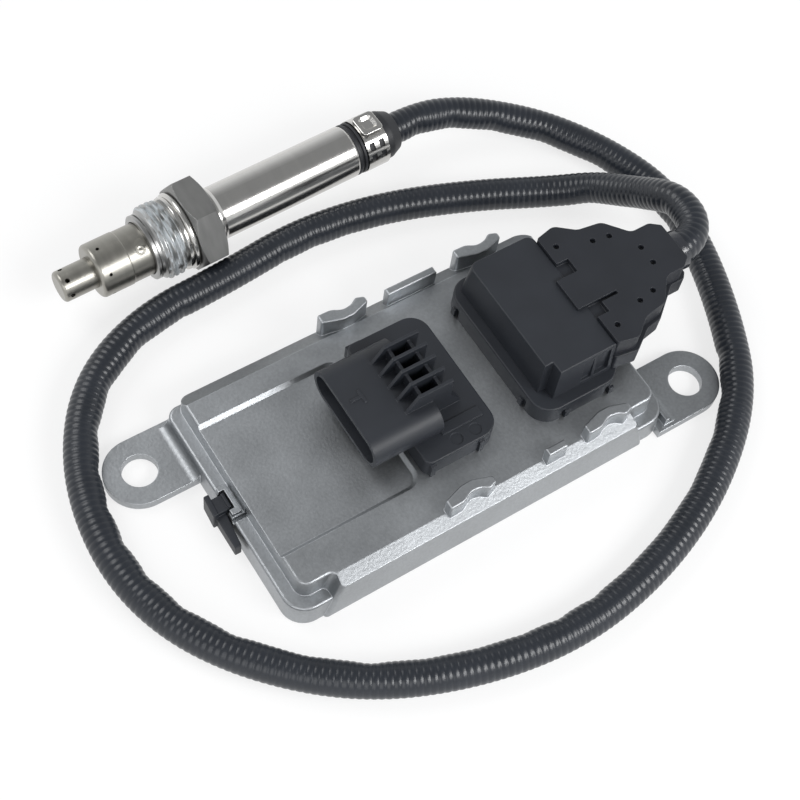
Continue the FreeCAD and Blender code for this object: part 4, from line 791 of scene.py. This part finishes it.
    def build(self) -> None:
        """Makes the ribbed tube: each ring stands square to the line, at the radii worked out above."""
        line = self.line()
        along = self.lengths(line)
        tangent = np.gradient(line, axis=0)
        tangent /= np.linalg.norm(tangent, axis=1, keepdims=True)
        side = np.cross(tangent, np.array([0.0, 0.0, 1.0]))
        side /= np.linalg.norm(side, axis=1, keepdims=True)
        top = np.cross(side, tangent)
        bend = np.sum(np.gradient(tangent, along, axis=0) * side, axis=1) * MM
        bend = np.convolve(bend, np.full(self.bend_rings, 1 / self.bend_rings), mode="same")
        angle = np.linspace(0.0, 2 * np.pi, self.sides, endpoint=False)
        ring = np.cos(angle)[:, None] * side[:, None, :] + np.sin(angle)[:, None] * top[:, None, :]
        points = line[:, None, :] + ring * self.radii(along, bend, angle)[:, :, None]
        piece = grid_mesh("ribbed_conduit", points, False, True)
        mend(piece, SMOOTH_ANGLE)
        stand_for(piece, "conduit", Finishes.CONDUIT)
        log.info("conduit: %.1f mm long, %d rings", along[-1] / MM, len(line))


# Probe

@dataclass
class HexBody:
    """Body of the probe with its cut thread and hexagon, and the captive ring between them.

    Fields, in mm; stations are distances from the tip:
        start, pilot_end, thread_end, hex_start, hex_end, spigot_end: stations.
        pilot, crest, root, neck, spigot, bore: radii.
        rim, rim_run: height and length of the chamfer at the pilot's front.
        slot_at, slot_end, slot_depth: the groove in the pilot, from its front.
        slot_rake: length of the groove's sloping sides.
        pitch: thread pitch.
        flank, crest_flat: slope of the thread's triangle wave, and how much of it is cut off flat.
        lead_slope, run_out_slope: slopes of the cones at the thread's two ends.
        rings_per_turn: rings that each turn of the thread is made of.
        seam: distance of a profile's last station from the thread's first ring.
        across: width of the hexagon across flats.
        chamfer, chamfer_slope, land: length and slope of the hexagon's chamfers, and how far its
            end faces lie inside the flats.
        overlap: how far shank and hexagon reach into each other.
        spigot_wall: wall that shows at the spigot's end.
        ring_profile: station and radius along the captive ring's skin, folded so that it shows two
            rounded lips.
        thread_sides, hex_sides: faces round the two parts.
        thread_sharp, hex_sharp, ring_sharp: angles in degrees over which their edges stay sharp.
    """

    start: float = 23.4
    pilot_end: float = 25.4
    thread_end: float = 31.4
    hex_start: float = 34.8
    hex_end: float = 42.1
    spigot_end: float = 47.1
    pilot: float = 8.7
    crest: float = 10.0
    root: float = 9.1
    neck: float = 8.9
    spigot: float = 6.45
    bore: float = 7.2
    rim: float = 0.3
    rim_run: float = 0.2
    slot_at: float = 0.8
    slot_end: float = 1.3
    slot_depth: float = 0.45
    slot_rake: float = 0.1
    pitch: float = 1.5
    flank: float = 2.9
    crest_flat: float = 0.25
    lead_slope: float = 1.1
    run_out_slope: float = 1.4
    rings_per_turn: int = 14
    seam: float = 0.01
    across: float = 22.0
    chamfer: float = 1.2
    chamfer_slope: float = 1.9
    land: float = 0.1
    overlap: float = 0.5
    spigot_wall: float = 0.4
    ring_profile: tuple[tuple[float, float], ...] = (
        (32.0, 8.9), (31.9, 9.3), (32.1, 9.8), (32.6, 9.95), (33.0, 9.8), (33.1, 9.5),
        (33.25, 9.9), (33.6, 10.3), (34.2, 10.35), (34.6, 10.1), (34.7, 9.0))
    thread_sides: int = 96
    hex_sides: int = 180
    thread_sharp: float = 40.0
    hex_sharp: float = 20.0
    ring_sharp: float = 50.0

    @staticmethod
    def turned(name: str, station: np.ndarray, radius: np.ndarray, angle: np.ndarray,
               sharp: float) -> bpy.types.Object:
        """Makes a surface that closes round the probe's axis.

        Args:
            name: the object's name.
            station: distance from the tip, on a grid of rings and angles, in mm.
            radius: radius on the same grid.
            angle: angle on the same grid.
            sharp: edges over this many degrees stay sharp.

        Returns:
            The object.
        """
        piece = grid_mesh(name, PROBE.place(station, radius, angle) * MM, False, True)
        mend(piece, sharp)
        return piece

    def thread(self) -> bpy.types.Object:
        """The threaded shank.

        At station x and angle a, the radius falls from the crest to the root by a triangle wave of
        (x - pitch a / turn) / pitch with flattened tops, and never stands above a cone that rises
        from the pilot at the lead end and another that falls to the neck at the other. Before the
        thread stands the pilot's profile, and after it the neck's.

        Returns:
            The shank's object, with its pilot and neck.
        """
        bottom = self.pilot - self.slot_depth
        nose = np.array([(0.0, self.bore), (0.0, self.pilot - self.rim), (self.rim_run, self.pilot),
                         (self.slot_at, self.pilot), (self.slot_at + self.slot_rake, bottom),
                         (self.slot_end - self.slot_rake, bottom), (self.slot_end, self.pilot),
                         (self.pilot_end - self.start - self.seam, self.pilot)])
        inside = self.hex_start + self.overlap
        tail = np.array([(self.thread_end + 2 * self.seam, self.neck), (inside, self.neck),
                         (inside, self.spigot)])
        cut = np.arange(self.pilot_end, self.thread_end + 1e-6, self.pitch / self.rings_per_turn)
        angle = np.linspace(0.0, 2 * np.pi, self.thread_sides, endpoint=False)
        xx, aa = np.meshgrid(np.concatenate([self.start + nose[:, 0], cut, tail[:, 0]]), angle, indexing="ij")
        phase = ((xx - self.pitch * aa / (2 * np.pi)) / self.pitch) % 1.0
        wave = np.clip(np.abs(phase - 0.5) * self.flank - self.crest_flat, 0.0, 1.0)
        groove = self.crest - (self.crest - self.root) * wave
        lead = self.pilot + np.clip(xx - self.pilot_end, 0.0, None) * self.lead_slope
        out = self.neck + np.clip(self.thread_end - xx, 0.0, None) * self.run_out_slope
        radius = np.minimum(np.minimum(groove, lead), out)
        radius[:len(nose)] = nose[:, 1][:, None]
        radius[-len(tail):] = tail[:, 1][:, None]
        return self.turned("cut_thread", xx, radius, aa, self.thread_sharp)

    def hexagon(self) -> bpy.types.Object:
        """The hexagon and rear spigot.

        The radius at angle a is half the width across flats over the cosine of the angle from the
        nearest flat's middle, and never more than a cone at either end, which gives the chamfers.

        Returns:
            The hexagon's object.
        """
        angle = np.linspace(0.0, 2 * np.pi, self.hex_sides, endpoint=False)
        ramp = np.linspace(0.0, 1.0, 9) * self.chamfer
        x = np.concatenate([[self.hex_start], self.hex_start + ramp, self.hex_end - ramp[::-1],
                            [self.hex_end, self.hex_end, self.spigot_end, self.spigot_end]])
        xx, aa = np.meshgrid(x, angle, indexing="ij")
        flat = self.across / 2 / np.cos((aa % (math.pi / 3)) - math.pi / 6)
        edge = np.minimum(xx - self.hex_start, self.hex_end - xx)
        cone = self.across / 2 - self.land + np.clip(edge, 0.0, None) * self.chamfer_slope
        radius = np.minimum(flat, cone)
        radius[0] = self.neck - self.overlap
        radius[-3:-1] = self.spigot
        radius[-1] = self.spigot - self.spigot_wall
        return self.turned("hexagon", xx, radius, aa, self.hex_sharp)

    def gasket(self) -> bpy.types.Object:
        """The captive ring: its profile carried round the axis.

        Returns:
            The ring's object.
        """
        profile = np.array(self.ring_profile)
        angle = np.linspace(0.0, 2 * np.pi, self.thread_sides, endpoint=False)
        xx, aa = np.meshgrid(profile[:, 0], angle, indexing="ij")
        radius = profile[:, 1][:, None] + np.zeros_like(aa)
        return self.turned("folded_ring", xx, radius, aa, self.ring_sharp)

    def build(self) -> None:
        """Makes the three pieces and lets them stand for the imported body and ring."""
        shank, head, ring = self.thread(), self.hexagon(), self.gasket()
        stand_for(ring, "sealing_ring", Finishes.POLISHED)
        stand_for(shank, "hex_body", Finishes.THREAD)
        stand_for(head, "hex_body", Finishes.MACHINED)


@dataclass
class PressedRing:
    """Small ring pressed out of the guard tube's near side.

    Fields, in mm:
        station: the ring's middle, from the probe's tip.
        turn: where it lies round the tube, in degrees.
        tube: the tube's outer radius.
        middle, width: radius of the ring's middle line, and how far it reaches either side.
        rise, sink: height of the ring, and how far its edges lie inside the tube's skin.
        sides, rows: points round the ring and across it.
    """

    station: float = 21.1
    turn: float = 124.0
    tube: float = 6.98
    middle: float = 1.05
    width: float = 0.5
    rise: float = 0.15
    sink: float = 0.04
    sides: int = 48
    rows: int = 9

    def build(self) -> None:
        """Makes the ring: points on the tube, raised by a cosine of the distance from the middle line."""
        ring = np.linspace(0.0, 2 * np.pi, self.sides, endpoint=False)
        across = np.linspace(-1.0, 1.0, self.rows)
        aa, cc = np.meshgrid(ring, across, indexing="ij")
        reach = self.middle + cc * self.width
        lift = self.rise * (0.5 + 0.5 * np.cos(np.pi * cc)) - self.sink
        along = self.station + reach * np.cos(aa)
        angle = math.radians(self.turn) + reach * np.sin(aa) / self.tube
        piece = grid_mesh("pressed_ring", PROBE.place(along, self.tube + lift, angle) * MM, True, False)
        mend(piece, SMOOTH_ANGLE)
        dress(piece, Finishes.DRAWN)
        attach(piece, "root")


@dataclass
class Probe:
    """The probe: protection tubes, body, sleeve, clamp and boot, and the stack inside.

    Fields:
        boot_edge, boot_steps: edge radius of the boot, in metres, and steps across it.
    """

    boot_edge: float = 0.5 * MM
    boot_steps: int = 3

    def build(self) -> None:
        """Dresses every piece of the probe."""
        HexBody().build()
        PressedRing().build()
        for node in ("inner_protection_tube", "outer_protection_tube"):
            dress_node(node, Finishes.DRAWN)
        dress_node("probe_sleeve", Finishes.POLISHED)
        dress_node("cable_grommet", Finishes.RUBBER)
        soften("conduit_boot", Finishes.RUBBER, self.boot_edge, self.boot_steps)
        for node in ("front_bush", "rear_bush", "contact_holder", "sensing_element"):
            dress_node(node, Finishes.CERAMIC)
        dress_node("talc_packing", Finishes.TALC)
        dress_node("probe_leads", Finishes.PALE_LEAD)
        dress_node("band_clamp", Finishes.POLISHED)


# Control unit

@dataclass(frozen=True)
class Prism:
    """An upright block over four plan points.

    Fields:
        plan: the four corners, anticlockwise, in mm.
        low, high: the heights it stands between, in mm.
    """

    plan: tuple[tuple[float, float], ...]
    low: float
    high: float


@dataclass
class EdgeClip:
    """Clip hung on the casting's left ledge.

    Fields:
        plate: the short plate outside the ledge.
        bridge: the bar through the cast loop.
        catch: the lip behind the loop.
        arm: the tapered arm along the ledge, beside the plate.
        edge, steps: edge radius, in metres, and steps across it.
        sharp: edges that turn by more than this many degrees are rounded.
    """

    plate: Prism = Prism(((-57.7, 1.2), (-56.3, 1.2), (-55.9, 6.9), (-57.3, 6.9)), 1.7, 8.0)
    bridge: Prism = Prism(((-56.4, 1.4), (-52.7, 1.4), (-52.7, 5.6), (-56.2, 5.6)), 5.2, 7.6)
    catch: Prism = Prism(((-53.6, 1.4), (-52.7, 1.4), (-52.7, 5.6), (-53.6, 5.6)), 5.2, 8.2)
    arm: Prism = Prism(((-56.9, -7.6), (-55.2, -7.6), (-54.2, 1.6), (-56.9, 1.6)), 2.2, 6.2)
    edge: float = 0.25 * MM
    steps: int = 3
    sharp: float = 30.0

    def build(self) -> None:
        """Makes the clip: each prism's plan points are set at its lower and its upper height."""
        parts = (self.plate, self.bridge, self.catch, self.arm)
        corners = np.empty((len(parts), 2, 4, 3))
        corners[..., :2] = np.array([part.plan for part in parts])[:, None]
        corners[..., 2] = np.array([(part.low, part.high) for part in parts])[:, :, None]
        block = np.array([(3, 2, 1, 0), (4, 5, 6, 7), (0, 1, 5, 4), (1, 2, 6, 5), (2, 3, 7, 6), (3, 0, 4, 7)])
        faces = 8 * np.arange(len(parts))[:, None, None] + block
        mesh = bpy.data.meshes.new("edge_clip_dressed")
        mesh.from_pydata((corners.reshape(-1, 3) * MM).tolist(), [], faces.reshape(-1, 4).tolist())
        piece = new_object("edge_clip_dressed", mesh)
        round_edges(piece, self.edge, self.steps, self.sharp)
        stand_for(piece, "edge_clip", Finishes.PLASTIC)


@dataclass
class ControlUnit:
    """Casting, its cover, the board inside and the clip on its edge.

    Fields:
        board_screws: number of screws that hold the board.
    """

    board_screws: int = 4

    def build(self) -> None:
        """Dresses the casting and all that it holds."""
        dress_node("housing", Finishes.CASTING)
        dress_node("bottom_cover", Finishes.SHEET)
        dress_node("cover_seal", Finishes.SILICONE)
        dress_node("circuit_board", Finishes.BOARD)
        for node in ("processor_chip", "heater_driver", "supply_choke"):
            dress_node(node, Finishes.CHIP)
        dress_node("supply_capacitor", Finishes.CAN)
        for number in range(1, self.board_screws + 1):
            dress_node(f"board_screw_{number}", Finishes.ZINC)
        EdgeClip().build()


@dataclass
class Connectors:
    """Power socket, probe header with its plug, and the cable hood.

    Fields:
        edge: edge radius of the mouldings, in metres.
        blades, pins: number of contacts in the socket and in the header.
    """

    edge: float = 0.22 * MM
    blades: int = 4
    pins: int = 8

    def build(self) -> None:
        """Dresses all the mouldings and contacts."""
        for node in ("power_socket", "probe_header", "probe_plug"):
            soften(node, Finishes.PLASTIC, self.edge)
        for node in ("hood_upper", "hood_lower"):
            soften(node, Finishes.HOOD, self.edge)
        for node in ("power_socket_seal", "probe_header_seal", "plug_seal"):
            dress_node(node, Finishes.SILICONE)
        for number in range(1, self.blades + 1):
            dress_node(f"power_blade_{number}", Finishes.TINNED)
        for number in range(1, self.pins + 1):
            dress_node(f"header_pin_{number}", Finishes.TINNED)
        dress_node("hood_leads", Finishes.LEAD)
        dress_node("conduit_wrap", Finishes.WRAP)


def main() -> None:
    """Builds the stage, then each part of the sensor."""
    logging.basicConfig(level=logging.INFO, format="%(name)s: %(message)s")
    for part in (Studio(), Conduit(), ControlUnit(), Connectors(), Probe()):
        part.build()
        log.info("%s built", type(part).__name__)


if __name__ == "__main__":
    main()
